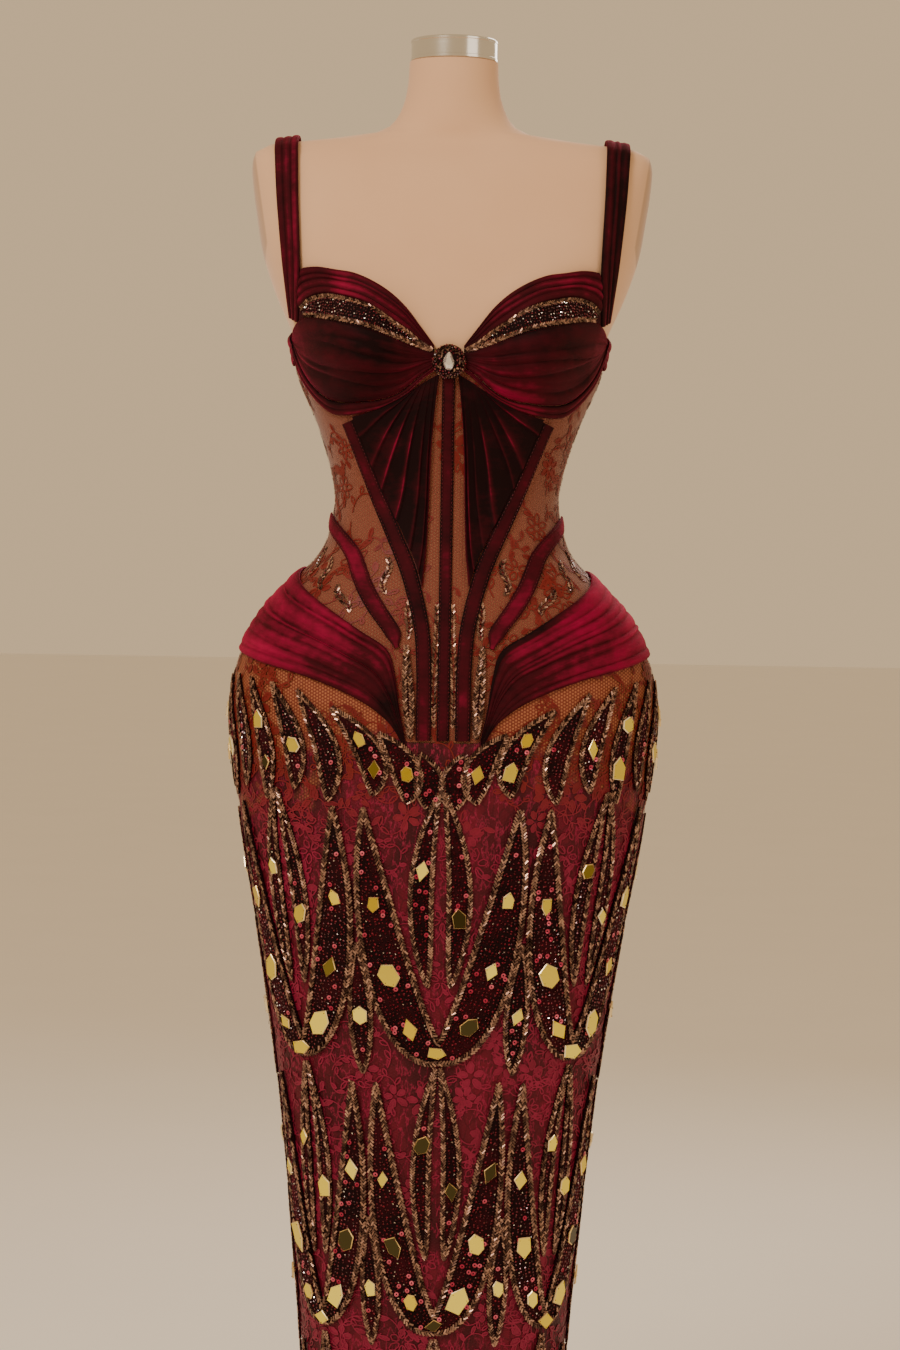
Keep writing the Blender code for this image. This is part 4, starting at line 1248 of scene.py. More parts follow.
def jittered_places(low_degrees, high_degrees, low, high, pitch, seed, keep=1.0):
    """Loosely spaced places over a stretch of the figure."""
    rng = np.random.default_rng(seed)
    places = []
    for row, height in enumerate(np.arange(low, high, pitch * 0.87)):
        scale = float(metres_per_degree(np.array(0.0), np.array(height)))
        step = pitch / scale
        for degrees in np.arange(low_degrees + (row % 2) * step / 2, high_degrees, step):
            if rng.random() < keep:
                turned_by = rng.uniform(-0.25, 0.25) * step
                raised_by = rng.uniform(-0.25, 0.25) * pitch
                places.append((degrees + turned_by, height + raised_by))
    return places


# Settings that a user would change

def colour_of(name, description, default):
    return bpy.props.FloatVectorProperty(
        name=name, description=description, default=default, subtype="COLOR", size=3, min=0.0, max=1.0)


class DressVelvetSettings(bpy.types.PropertyGroup):
    # Colours of the velvet's ramp. Random nap patches and painted light drive it: dark serves as painted shade
    # in the troughs, bright as a painted highlight on ridges and lit places.
    dark: colour_of("Dark", "Pile seen end on", (0.0065, 0.0003, 0.0010))
    middle: colour_of("Middle", "Pile at a slant", (0.050, 0.0010, 0.0060))
    bright: colour_of("Bright", "Pile turned to the light", (0.30, 0.0035, 0.0480))
    glow: colour_of("Glow", "Sheen at grazing angles", (0.85, 0.020, 0.140))
    sheen: bpy.props.FloatProperty(name="Sheen", description="How much the pile glows at its edges",
                                   default=0.50, min=0.0, max=1.0, subtype="FACTOR")
    crease: bpy.props.FloatProperty(name="Fold height", description="How far the folds stand up",
                                    default=0.0021, min=0.0, max=0.005, unit="LENGTH", subtype="DISTANCE")


class DressLaceSettings(bpy.types.PropertyGroup):
    net_light: colour_of("Net light", "Light part of the net", (0.35, 0.125, 0.058))
    net_shade: colour_of("Net shade", "Dark part of the net", (0.25, 0.075, 0.034))
    thread: colour_of("Thread", "Threads of the net", (0.17, 0.034, 0.017))
    rust: colour_of("Rust lace", "Lace on the bodice", (0.105, 0.0055, 0.0045))
    rust_light: colour_of("Light rust lace", "Light parts of the lace on the bodice", (0.20, 0.014, 0.010))
    wine: colour_of("Wine", "Ground of the skirt", (0.040, 0.0006, 0.0045))
    lace_low: colour_of("Crimson lace", "Lace on the skirt", (0.115, 0.0018, 0.014))
    lace_high: colour_of("Light crimson lace", "Light parts of the lace on the skirt", (0.29, 0.012, 0.055))
    pitch: bpy.props.FloatProperty(name="Net pitch", description="Distance between the holes of the net",
                                   default=0.0026, min=0.001, max=0.01, unit="LENGTH", subtype="DISTANCE")
    motif: bpy.props.FloatProperty(name="Flower size", description="Width of a lace flower",
                                   default=0.026, min=0.01, max=0.1, unit="LENGTH", subtype="DISTANCE")
    tan_from: bpy.props.FloatProperty(name="Tan from", description="Height where tan net starts to show",
                                      default=0.825, min=0.0, max=1.2, unit="LENGTH", subtype="DISTANCE")


class DressBeadSettings(bpy.types.PropertyGroup):
    gold: colour_of("Gold", "Cut mirrors", (1.0, 0.88, 0.15))
    gold_deep: colour_of("Deep gold", "Darker cut mirrors", (0.80, 0.62, 0.045))
    # Painted reflection: the colour of the few mirrors painted dark as if they reflected dark surroundings.
    painted_dark_reflection: colour_of("Smoked", "Smoked mirrors", (0.06, 0.05, 0.02))
    bugle: bpy.props.FloatProperty(name="Bugle length", description="Length of a bugle bead",
                                   default=0.0041, min=0.001, max=0.01, unit="LENGTH", subtype="DISTANCE")
    seed: bpy.props.FloatProperty(name="Seed bead", description="Width of a seed bead",
                                  default=0.0023, min=0.001, max=0.01, unit="LENGTH", subtype="DISTANCE")
    mirror: bpy.props.FloatProperty(name="Mirror length", description="Length of a large cut mirror",
                                    default=0.0245, min=0.005, max=0.06, unit="LENGTH", subtype="DISTANCE")


class DressFormSettings(bpy.types.PropertyGroup):
    jersey_light: colour_of("Jersey light", "Jersey in the light", (0.745, 0.470, 0.290))
    jersey_shade: colour_of("Jersey shade", "Jersey in the shade", (0.665, 0.395, 0.230))
    metal: colour_of("Metal", "Neck cap", (0.78, 0.76, 0.72))
    steel: colour_of("Steel", "Pole and base", (0.42, 0.41, 0.40))


class DressStageSettings(bpy.types.PropertyGroup):
    camera_distance: bpy.props.FloatProperty(name="Camera distance", description="In front of the dress",
                                             default=3.0, min=0.5, unit="LENGTH", subtype="DISTANCE")
    camera_height: bpy.props.FloatProperty(name="Camera height", description="Above the floor",
                                           default=1.03, min=0.0, unit="LENGTH", subtype="DISTANCE")
    camera_across: bpy.props.FloatProperty(name="Camera across", description="Right of the dress's centre line",
                                           default=0.0055, unit="LENGTH", subtype="DISTANCE")
    pitch: bpy.props.FloatProperty(name="Pitch", description="How far the camera looks down",
                                   default=math.radians(2.04), unit="ROTATION", subtype="ANGLE")
    roll: bpy.props.FloatProperty(name="Roll", description="How far the camera leans",
                                  default=math.radians(0.94), unit="ROTATION", subtype="ANGLE")
    lens: bpy.props.FloatProperty(name="Lens", description="Focal length on a 36 mm frame",
                                  default=86.0, min=10.0, unit="CAMERA")
    ground: colour_of("Ground", "Floor", (0.92, 0.89, 0.85))
    air: colour_of("Air", "Surroundings", (0.82, 0.59, 0.345))


# Pieces

class DressFormOperator(bpy.types.Operator):
    """Smooth jersey torso, and the metal of the neck cap, pole and base"""
    bl_idname = "dress.form"
    bl_label = "Dress form"

    def execute(self, context):
        settings = context.scene.dress_form
        columns, rows = 104, 116
        turns = np.linspace(0.0, 360.0, columns, endpoint=False)
        heights = FORM_UNDERSIDE + (FORM_TOP - FORM_UNDERSIDE) * np.linspace(0, 1, rows + 1)
        turn, height = np.meshgrid(turns, heights, indexing="ij")
        points = figure(turn, height, FORM_BUST_SHARE)
        index = np.arange(points.shape[0] * points.shape[1]).reshape(points.shape[:2])
        faces = quads(np.vstack([index, index[:1]])).tolist()
        faces.append(index[::-1, 0].tolist())
        faces.append(index[:, -1].tolist())
        torso = add_piece("jersey_torso", points.reshape(-1, 3), faces, finish("jersey", jersey, settings),
                          ["form_torso"], "form_jersey")
        girth = girth_from_front(np.where(turn > 180, turn - 360, turn), height)
        set_cloth_map(torso, girth.ravel(), height.ravel())
        chrome = finish("chrome", brushed_metal, "chrome", settings.metal[:], 0.10, 0.24)
        steel = finish("steel", brushed_metal, "steel", settings.steel[:], 0.28, 0.46)
        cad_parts["form_pole"].material_slots[0].material = steel
        turned("turned_neck_cap", CAP_PROFILE, chrome, "form_neck_cap", "chrome")
        turned("turned_base", BASE_PROFILE, steel, "form_base", "steel")
        return {"FINISHED"}


class DressNetOperator(bpy.types.Operator):
    """Lace net panels of the bodice, front and back"""
    bl_idname = "dress.net"
    bl_label = "Net panels"

    def execute(self, context):
        material = finish("lace_net", lace_net, context.scene.dress_lace)
        sizes = {"centre": (24, 80), "side": (56, 80), "back": (48, 64)}
        for side, word in SIDES:
            for part, place in net_places(side).items():
                node_name = f"net_{part}_{word}"
                panel = over_figure(f"lace_{node_name}", *sizes[part], place, SKIN_CLEARANCE, NET_WALL, material,
                                    nodes=[node_name], slot="lace_net")
        return {"FINISHED"}


class DressLaceOperator(bpy.types.Operator):
    """Raised lace flowers on the net of the bodice and on the skirt"""
    bl_idname = "dress.lace"
    bl_label = "Lace flowers"

    def execute(self, context):
        size = context.scene.dress_lace.motif
        bodice = [p for p in jittered_places(-176.0, 176.0, 0.895, 1.195, size * 1.45, 11, 0.80)
                  if p[1] < float(net_top(abs(p[0]))) - size * 0.5 and p[1] > float(net_bottom(abs(p[0])))]
        on_net, on_skirt = SKIN_CLEARANCE + NET_WALL + 0.0001, SKIN_CLEARANCE + SKIRT_WALL + 0.0001
        lay_motifs("bodice_lace_flowers", bodice, size * 1.05, on_net, 0.0006, 5, 0.0015)
        skirt = [p for p in jittered_places(-178.0, 178.0, 0.062, 0.945, size * 1.24, 12, 0.84)
                 if p[1] < float(column(SKIRT_TOP, abs(p[0]))) - size * 0.3]
        lay_motifs("skirt_lace_flowers", skirt, size, on_skirt, 0.0007, 6, 0.0012)
        return {"FINISHED"}


class DressSkirtOperator(bpy.types.Operator):
    """Narrow lace skirt: a front and two backs"""
    bl_idname = "dress.skirt"
    bl_label = "Skirt"

    def execute(self, context):
        material = finish("skirt_ground", skirt_ground, context.scene.dress_lace)

        def hem_and_drag(u, v):
            hem = 0.0004 * (1 - smooth_step(v, 0.020, 0.024))
            drag = 0.0005 * np.sin(9.0 * u + 3.0 * v) * np.sin(7.0 * v + 1.0) ** 2
            return hem + drag + 0.0005

        front = over_figure("lace_skirt_front", 96, 128, skirt_place(-90.0 + SKIRT_INSET, 90.0 - SKIRT_INSET),
                            SKIN_CLEARANCE, SKIRT_WALL - 0.0006, material, hem_and_drag,
                            nodes=["skirt_front"], slot="skirt_lace")
        for side, word in SIDES:
            place = skirt_place(side * (90.0 + SKIRT_INSET), side * (180.0 - 2 * SKIRT_INSET))
            back = over_figure(f"lace_skirt_back_{word}", 48, 128, place, SKIN_CLEARANCE, SKIRT_WALL - 0.0006,
                               material, hem_and_drag, nodes=[f"skirt_back_{word}"], slot="skirt_lace")
        return {"FINISHED"}


class DressCupsOperator(bpy.types.Operator):
    """Neckline drapes, beaded and velvet cups, under-bust bands and back bands"""
    bl_idname = "dress.cups"
    bl_label = "Cups and bands"

    def execute(self, context):
        crease = context.scene.dress_velvet.crease
        velvet_cloth, bright = plain_velvet(), bright_velvet()
        ground = beaded_cloth()
        last = CUPS[-1, 0]
        for side, word in SIDES:
            seed = 20 + side

            def neck_folds(u, v):
                rows = fold_row(v, u, 4, seed, uneven=0.22, wander=0.2)
                fine = fold_row(v, u, 9, seed + 1, uneven=0.3, wander=0.3, short=0.6)
                return crease * (0.95 * rows + 0.15 * fine) * (0.25 + 0.75 * smooth_step(u, 0.0, 0.3))

            def cup_folds(u, v):
                radial = fold_row(v, u, 5, seed + 2, uneven=0.48, wander=0.45, short=1.0)
                long = fold_row(v, u, 3, seed + 3, uneven=0.30, wander=0.5)
                fine = fold_row(v, u, 12, seed + 4, uneven=0.40, wander=0.4, short=1.0)
                near = 1 - smooth_step(u, 0.15, 0.60)
                rim = fold_row(1 - v, u, 7, seed + 5, uneven=0.4, wander=0.6) * smooth_step(u, 0.55, 0.95)
                body = 0.95 * radial + 0.35 * long + 0.35 * fine * near + 0.25 * rim
                return crease * body * (0.3 + 0.7 * smooth_step(u, 0.0, 0.2))

            # Painted light on the velvet cups: lighter near the brooch and towards the lower edge, a little
            # lighter at the outer end, and on the right cup lighter still and reaching further out.
            def cup_light(u, v, side=side):
                near = 1 - smooth_step(u, 0.02, 0.55 if side == LEFT else 0.85)
                rim = smooth_step(u, 0.90, 1.0) * 0.15
                return 0.38 * near * (0.4 + 0.6 * (1 - v)) + rim + (0.10 if side == RIGHT else 0.0) * (1 - v)

            def band_folds(u, v):
                return crease * 0.60 * fold_row(v, u, 2, seed + 6, uneven=0.2, wander=0.3)

            # The neckline drapes and under-bust bands take the lighter velvet copy, with more painted light; the
            # velvet cups take cup_light's painted light.
            pieces = (
                ("neckline_drape", 112, 40, ("bead_top", "neckline", BEADED_END, DRAPE_END), CUP_CLEARANCE,
                 bright, neck_folds, None, "velvet"),
                ("beaded_cup", 60, 12, ("bead_low", "bead_top", BEADED_LOW_END, BEADED_END), CUP_CLEARANCE,
                 ground, None, None, "beadwork"),
                ("velvet_cup", 112, 64, ("cup_low", "bead_low", last, last), CUP_CLEARANCE,
                 velvet_cloth, cup_folds, cup_light, "velvet"),
                ("underbust_band", 96, 16, ("band_low", "cup_low", last, last), OVER_NET,
                 bright, band_folds, None, "bright_velvet"),
            )
            for name, columns, rows, edges, base, cloth, relief, tone, slot in pieces:
                piece = over_figure(f"{name}_cloth_{word}", columns, rows, cup_ribbon(side, *edges), base,
                                    VELVET_WALL, cloth, relief, tone, nodes=[f"{name}_{word}"], slot=slot)

            def back_place(u, v):
                degrees = BACK_BAND[0, 0] + u * (180.0 - BACK_INSET - BACK_BAND[0, 0])
                top, low = np.moveaxis(along(BACK_BAND, degrees), -1, 0)
                return side * degrees, low + v * (top - low)

            def back_folds(u, v):
                return crease * 0.45 * fold_row(v, u, 3, seed + 8)

            back = over_figure(f"back_band_cloth_{word}", 80, 24, back_place, OVER_NET, VELVET_WALL,
                               velvet_cloth, back_folds, nodes=[f"back_band_{word}"], slot="velvet")
        return {"FINISHED"}


def fan_edge(share):
    """Ends of the pleats, along the inner edge of the inner casing."""
    height = on_route(FAN_ENDS, share)[1]
    line = casing_line(height)
    scale = metres_per_degree(line, height)
    slope = (casing_line(height + 0.002) - casing_line(height - 0.002)) * scale / 0.004
    inset = (CASING_WIDTH / 2 + 2 * SEAM_GAP) * np.sqrt(1 + slope**2)
    return line - inset / scale, height


class DressFansOperator(bpy.types.Operator):
    """Fans of knife pleats that spread from the brooch"""
    bl_idname = "dress.fans"
    bl_label = "Fans"

    def execute(self, context):
        crease = context.scene.dress_velvet.crease
        for side, word in SIDES:
            def place(u, v):
                end_degrees, end_height = fan_edge(u)
                root_degrees = FAN_ROOTS[0][0] + u * (FAN_ROOTS[1][0] - FAN_ROOTS[0][0])
                root_height = FAN_ROOTS[0][1] + u * (FAN_ROOTS[1][1] - FAN_ROOTS[0][1])
                bow = np.sin(math.pi * v)
                degrees = root_degrees + v * (end_degrees - root_degrees) + FAN_INNER_BOW * bow * u**2
                height = root_height + v * (end_height - root_height) - FAN_TOP_SAG * bow * (1 - u) ** 2
                return side * degrees, height

            def pleats(u, v):
                rows = fold_row(u, v, FAN_PLEATS, 33 + side, knife, 0.20, 0.12, least=0.85)
                soft = fold_row(u, v, 15, 36 + side, roll, 0.4, 0.3, short=0.6)
                return crease * (rows + 0.12 * soft) * np.minimum(1, 0.25 + 2 * v)

            piece = over_figure(f"fan_cloth_{word}", 128, 56, place, OVER_NET, VELVET_WALL, pleated_velvet(),
                                pleats, nodes=[f"fan_{word}"], slot="velvet")
        return {"FINISHED"}


class DressCasingsOperator(bpy.types.Operator):
    """Velvet casings sewn over the net"""
    bl_idname = "dress.casings"
    bl_label = "Casings"

    def execute(self, context):
        def crowned(u, v):
            edge = np.minimum(u, 1 - u)
            return 0.0005 * smooth_step(edge, 0.0, 0.30) + 0.00025 * smooth_step(edge, 0.04, 0.10)

        low, high = CENTRE_CASING_ENDS
        routes = [("casing_centre", plain_velvet(), "velvet", CENTRE_CASING_WIDTH, OVER_NET - CENTRE_CASING_DROP,
                   lambda share: (np.zeros_like(share), low + share * (high - low)))]
        for side, word in SIDES:
            # The outer casings take the lighter velvet copy, with more painted light than the inner ones.
            for name, table, cloth, slot in (
                ("inner", INNER_CASING, plain_velvet(), "velvet"),
                ("outer", OUTER_CASING, bright_velvet(), "bright_velvet"),
            ):
                def route(share, table=table, side=side):
                    degrees, height = on_route(table, share)
                    return side * degrees, height

                routes.append((f"casing_{name}_{word}", cloth, slot, CASING_WIDTH, OVER_NET, route))
        for name, cloth, slot, width, base, route in routes:
            tapered = OUTER_CASING_TAPER if name.startswith("casing_outer") else 0.0

            def place(u, v, route=route, width=width, tapered=tapered):
                def narrowed(share):
                    near_end = np.minimum(share, OUTER_CASING_FAR_END - share)
                    return width * (1 - tapered * (1 - smooth_step(near_end, 0.0, OUTER_CASING_TAPER_SHARE)))

                return ribbon_place(route, narrowed, u, v)

            piece = over_figure(f"{name}_cloth", 12, 160, place, base, CASING_WALL - 0.0004, cloth, crowned,
                                nodes=[name], slot=slot)
        return {"FINISHED"}


class DressStrapsOperator(bpy.types.Operator):
    """Shoulder straps folded lengthwise"""
    bl_idname = "dress.straps"
    bl_label = "Straps"

    def execute(self, context):
        for side, word in SIDES:
            rows = []
            for i, (across, height, behind) in enumerate(STRAP):
                degrees = degrees_at(across, height, behind)
                rows.append((i / (len(STRAP) - 1), *figure(degrees, height), *outward(degrees, height)))
            stations = np.array(rows)

            def surface(u, v, offset):
                here = along(stations, v)
                ahead = along(stations, np.minimum(v + 0.01, 1.0)) - along(stations, np.maximum(v - 0.01, 0.0))
                normal = unit(here[..., 3:6])
                across = unit(np.cross(ahead[..., 0:3], normal))
                bulge = np.sqrt(np.maximum(np.sin(math.pi * v), 0.0))
                width = STRAP_END_WIDTH + (STRAP_WIDTH - STRAP_END_WIDTH) * bulge
                shift = ((u - 0.5) * width)[..., None]
                point = here[..., 0:3] + shift * across + np.asarray(offset)[..., None] * normal
                return point * (side, 1, 1)

            def folds(u, v):
                main = fold_row(u, v, 3, 50 + side, uneven=0.2, wander=0.12)
                return STRAP_FOLD_HEIGHT * 1.3 * (main + 0.2 * fold_row(u, v, 7, 60 + side, wander=0.2))

            length = float(np.linalg.norm(np.diff(stations[:, 1:4], axis=0), axis=1).sum())
            # Painted light from the left: the left strap takes the lighter velvet copy, the right one the darker
            # copy.
            cloth = bright_velvet() if side == LEFT else plain_velvet()
            piece = lay_cloth(f"strap_cloth_{word}", 28, 160, surface, STRAP_CLEARANCE, VELVET_WALL, cloth,
                              folds, lambda u, v: (u * STRAP_WIDTH, v * length), nodes=[f"strap_{word}"],
                              slot="bright_velvet" if side == LEFT else "velvet")
        return {"FINISHED"}


class DressHipsOperator(bpy.types.Operator):
    """Folded hip drapes, front and back"""
    bl_idname = "dress.hips"
    bl_label = "Hip drapes"

    def execute(self, context):
        crease = context.scene.dress_velvet.crease
        last = len(HIP_DRAPE) - 1
        for side, word in SIDES:
            seed = 70 + side

            def front_place(u, v):
                degrees, height = hip_place(side, 0, HIP_SIDE_STATION)(u, v)
                return degrees - side * HIP_INSET * u, height

            def back_place(u, v):
                degrees, height = hip_place(side, HIP_SIDE_STATION, last)(u, v)
                return degrees + side * HIP_INSET * (1 - 3 * u), height

            def folds_from(start, end):
                def folds(u, v):
                    run = start + u * (end - start)
                    main = fold_row(v, run, 8, seed, uneven=0.42, wander=0.55, short=0.35)
                    wide = fold_row(v, run, 3, seed + 3, uneven=0.35, wander=0.8)
                    fine = fold_row(v, run, 19, seed + 5, uneven=0.45, wander=0.9, short=0.8)
                    return crease * (0.75 * main + 0.35 * wide + 0.20 * fine) * np.minimum(1.0, 0.2 + 3.0 * run)
                return folds

            # Painted light on the hip drapes, which also take the lighter velvet copy: lighter from the middle
            # of the run on, painted shade near the front tip, and on the right drape a lighter upper half with
            # painted shade along the top edge of its front part.
            def light_from(start, end):
                def light(u, v):
                    run = start + u * (end - start)
                    body = 0.30 * smooth_step(run, 0.10, 0.55) - 0.28 * (1 - smooth_step(run, 0.0, 0.22))
                    if side == RIGHT:
                        painted_top_fold_shade = smooth_step(v, 0.88, 0.92) * (1 - smooth_step(run, 0.30, 0.45))
                        return body + 0.12 * smooth_step(v, 0.4, 0.8) * (1 - painted_top_fold_shade) - 0.45 * painted_top_fold_shade
                    return body
                return light

            for name, place, relief, columns, light in (
                ("hip_drape", front_place, folds_from(0.0, 0.64), 128, light_from(0.0, 0.64)),
                ("hip_drape_back", back_place, folds_from(0.64, 1.0), 80, light_from(0.64, 1.0)),
            ):
                piece = over_figure(f"{name}_cloth_{word}", columns, 72, place, OVER_SKIRT, VELVET_WALL,
                                    bright_velvet(), relief, light, nodes=[f"{name}_{word}"],
                                    slot="bright_velvet")
        return {"FINISHED"}


class DressBeadworkOperator(bpy.types.Operator):
    """Beaded leaf sprigs with bugle ropes, seed beads, sequins and cut mirrors"""
    bl_idname = "dress.beadwork"
    bl_label = "Beadwork"

    def execute(self, context):
        settings = context.scene.dress_beads
        rng = np.random.default_rng(90)
        mirrors = []
        large = BeadStore()
        for name, (route, width) in sprig_shapes().items():
            self.lay_ground(f"beaded_{name}", route, width, OVER_SKIRT, SPRIG_WALL, 80, [name])
            large.fill_leaf(route, width, settings, OVER_SKIRT + SPRIG_WALL, settings.bugle, rng)
            for share, wide in ((0.13, 0.75), (0.24, 1.0), (0.36, 0.8), (0.50, 0.8), (0.65, 1.0), (0.77, 0.85),
                                (0.88, 0.75)):
                mirrors.append((route, width, share, wide, OVER_SKIRT + SPRIG_WALL))
        large.lay("sprig", settings, rng)
        small = BeadStore()
        for i, (route, width, shares) in enumerate(leaves_between()):
            self.lay_ground(f"beaded_leaf_{i:02d}", route, width, LEAF_CLEARANCE, LEAF_WALL, 24, [])
            small.fill_leaf(route, width, settings, LEAF_CLEARANCE + LEAF_WALL, settings.bugle * 0.85, rng)
            mirrors += [(route, width, share, 0.72, LEAF_CLEARANCE + LEAF_WALL) for share in shares]
        small.lay("leaf", settings, rng)
        self.lay_twigs(settings, rng)
        self.set_mirrors(settings, mirrors, rng)
        return {"FINISHED"}

    def lay_ground(self, name, route, width, base, wall, rows, nodes):
        def place(u, v):
            return ribbon_place(route, width, u, v)

        def domed(u, v):
            return 0.0007 * np.sin(math.pi * u) ** 0.5

        over_figure(name, 8, rows, place, base, wall - 0.0006, beaded_cloth(), domed, nodes=nodes,
                    slot="beadwork" if nodes else None)

    def lay_twigs(self, settings, rng):
        """Thin bead twigs over the net of the bodice."""
        twigs = BeadStore()
        bugle = settings.bugle * 0.8
        offset = SKIN_CLEARANCE + NET_WALL + 0.0008
        for route in bodice_twigs():
            def width(share):
                return 0.0016 + 0.0042 * np.maximum(0.0, np.sin(math.pi * share)) ** 0.7
            points, frames = rope_of_bugles(route, width, bugle * 0.60, bugle, offset, rows=1)
            twigs.ropes.append((points, frames, np.full(len(points), bugle)))
            share = np.linspace(0.08, 0.92, 9)
            degrees, height = route(share)
            normal, ahead = surface_frame(degrees, height, unit_along(route, share))
            twigs.seeds.append((off_figure(degrees, height, np.full(9, offset + 0.0006)),
                                frames_from(ahead, normal, np.zeros(9))))
        twigs.lay("twig", settings, rng)

    def set_mirrors(self, settings, places, rng):
        """Gold cut mirrors down the middle of each leaf, lozenges and long six-sided pieces in turn."""
        all_points, faces, pale, knots, knot_frames, start = [], [], [], [], [], 0
        for i, (route, width, share, wide, top) in enumerate(places):
            share = np.array([share])
            length = settings.mirror * wide * rng.uniform(0.8, 1.15)
            degrees, height = ribbon_place(route, width, np.array([0.5]), share)
            normal, ahead = surface_frame(degrees, height, unit_along(route, share))
            axes = frames_from(ahead, normal, rng.uniform(-0.35, 0.35, 1))[0]
            outline = cut_mirror((6, 4, 5)[i % 3], length, length * rng.uniform(0.58, 0.72), rng)
            corners, piece_faces = mirror_piece(outline, 0.0016, 0.0007)
            centre = off_figure(degrees, height, np.array([top + 0.0016]))[0]
            tilt = rng.uniform(-0.09, 0.09, 2)
            corners[:, 2] += corners[:, 0] * tilt[0] + corners[:, 1] * tilt[1]
            for corner in rng.permutation(len(outline))[:3]:
                knots.append((corners[2 * len(outline) + corner] * (0.80, 0.80, 1.0)) @ axes + centre)
                knot_frames.append(axes)
            all_points.append(corners @ axes + centre)
            faces += [tuple(start + k for k in face) for face in piece_faces]
            pale += [False, False] + [True] * (len(piece_faces) - 2)
            start += len(corners)
        piece = add_piece("cut_mirrors", np.concatenate(all_points), faces,
                          finish("gold_mirror", mirror_finish, settings), smooth=None)
        piece.data.materials.append(finish("mirror_edge", bead_finish, "mirror_edge", (0.85, 0.62, 0.25),
                                           (1.0, 0.90, 0.66), 0.8, 0.20))
        piece.data.polygons.foreach_set("material_index", np.array(pale, dtype=np.int32))
        scatter("mirror_knots", round_shape(), np.array(knots), np.array(knot_frames),
                np.full((len(knots), 3), 0.0011), stitch_thread())


class BeadStore:
    """Collects the beads of many leaves, so that each kind becomes one mesh."""

    def __init__(self):
        self.ropes, self.seeds, self.rings, self.glints = [], [], [], []

    def fill_leaf(self, route, width, settings, top, bugle, rng):
        points, frames = rope_of_bugles(route, width, bugle * 0.70, bugle, top + 0.0005)
        self.ropes.append((points, frames, np.full(len(points), bugle)))
        share, sideways = leaf_fill(route, width, settings.seed * 1.45, bugle * 1.35, rng)
        degrees, height = ribbon_place(route, width, sideways, share)
        normal, ahead = surface_frame(degrees, height, unit_along(route, share))
        frames = frames_from(ahead, normal, rng.uniform(0, math.pi, len(share)))
        points = off_figure(degrees, height, np.full_like(share, top + 0.0006))
        kind = rng.random(len(share))
        for low, high, store, lift in ((0.0, 0.915, self.seeds, 0.0), (0.915, 0.955, self.rings, 0.0012),
                                       (0.955, 1.0, self.glints, 0.0008)):
            chosen = (kind >= low) & (kind < high)
            store.append((points[chosen] + lift * normal[chosen], frames[chosen]))

    def lay(self, name, settings, rng):
        points, frames, lengths = (np.concatenate(part) for part in zip(*self.ropes))
        scatter(f"{name}_bugle_ropes", bugle_shape(), points, frames, lengths[:, None] * (1.0, 0.40, 0.40),
                bugle_beads())
        for kind, store, shape, size, material in (
            ("seed_beads", self.seeds, round_shape(), settings.seed, seed_beads()),
            ("ring_sequins", self.rings, ring_shape(), 0.0042, sequin_discs()),
            ("silver_beads", self.glints, round_shape(), 0.0019, silver_beads()),
        ):
            if not store:
                continue
            points, frames = (np.concatenate(part) for part in zip(*store))
            count = (len(points), 1)
            uneven = rng.uniform(0.75, 1.1, count) if kind == "seed_beads" else np.ones(count)
            scatter(f"{name}_{kind}", shape, points, frames, size * uneven * (1.1, 1.0, 0.9), material)


class DressCupBeadsOperator(bpy.types.Operator):
    """Bead rope and fill on the upper cups"""
    bl_idname = "dress.cup_beads"
    bl_label = "Cup beads"

    def execute(self, context):
        settings = context.scene.dress_beads
        rng = np.random.default_rng(95)
        top = CUP_CLEARANCE + VELVET_WALL
        for side, word in SIDES:
            def route(share):
                degrees = CUPS[0, 0] + 1.0 + share * (BEADED_END - CUPS[0, 0] - 2.0)
                edges = cup_edges(degrees)
                return side * degrees, (edges["bead_low"] + edges["bead_top"]) / 2

            def width(share):
                degrees = CUPS[0, 0] + 1.0 + share * (BEADED_END - CUPS[0, 0] - 2.0)
                edges = cup_edges(degrees)
                return (edges["bead_top"] - edges["bead_low"]) * 0.92

            bugle = settings.bugle * 0.8
            points, frames = rope_of_bugles(route, width, bugle * 0.6, bugle, top + 0.0006)
            slim = bugle * 0.4
            scatter(f"cup_bugle_rope_{word}", bugle_shape(), points, frames,
                    np.tile((bugle, slim, slim), (len(points), 1)), bugle_beads())
            share, sideways = leaf_fill(route, width, settings.seed * 1.15, bugle * 0.9, rng)
            degrees, height = ribbon_place(route, width, sideways, share)
            normal, ahead = surface_frame(degrees, height, unit_along(route, share))
            frames = frames_from(ahead, normal, rng.uniform(0, math.pi, len(share)))
            points = off_figure(degrees, height, np.full_like(share, top + 0.0006))
            bright = rng.random(len(share)) < 0.10
            for name, chosen, material in (("seed", ~bright, seed_beads()), ("silver", bright, silver_beads())):
                scatter(f"cup_{name}_beads_{word}", round_shape(), points[chosen], frames[chosen],
                        np.full((int(chosen.sum()), 3), settings.seed * 0.8), material)
        return {"FINISHED"}


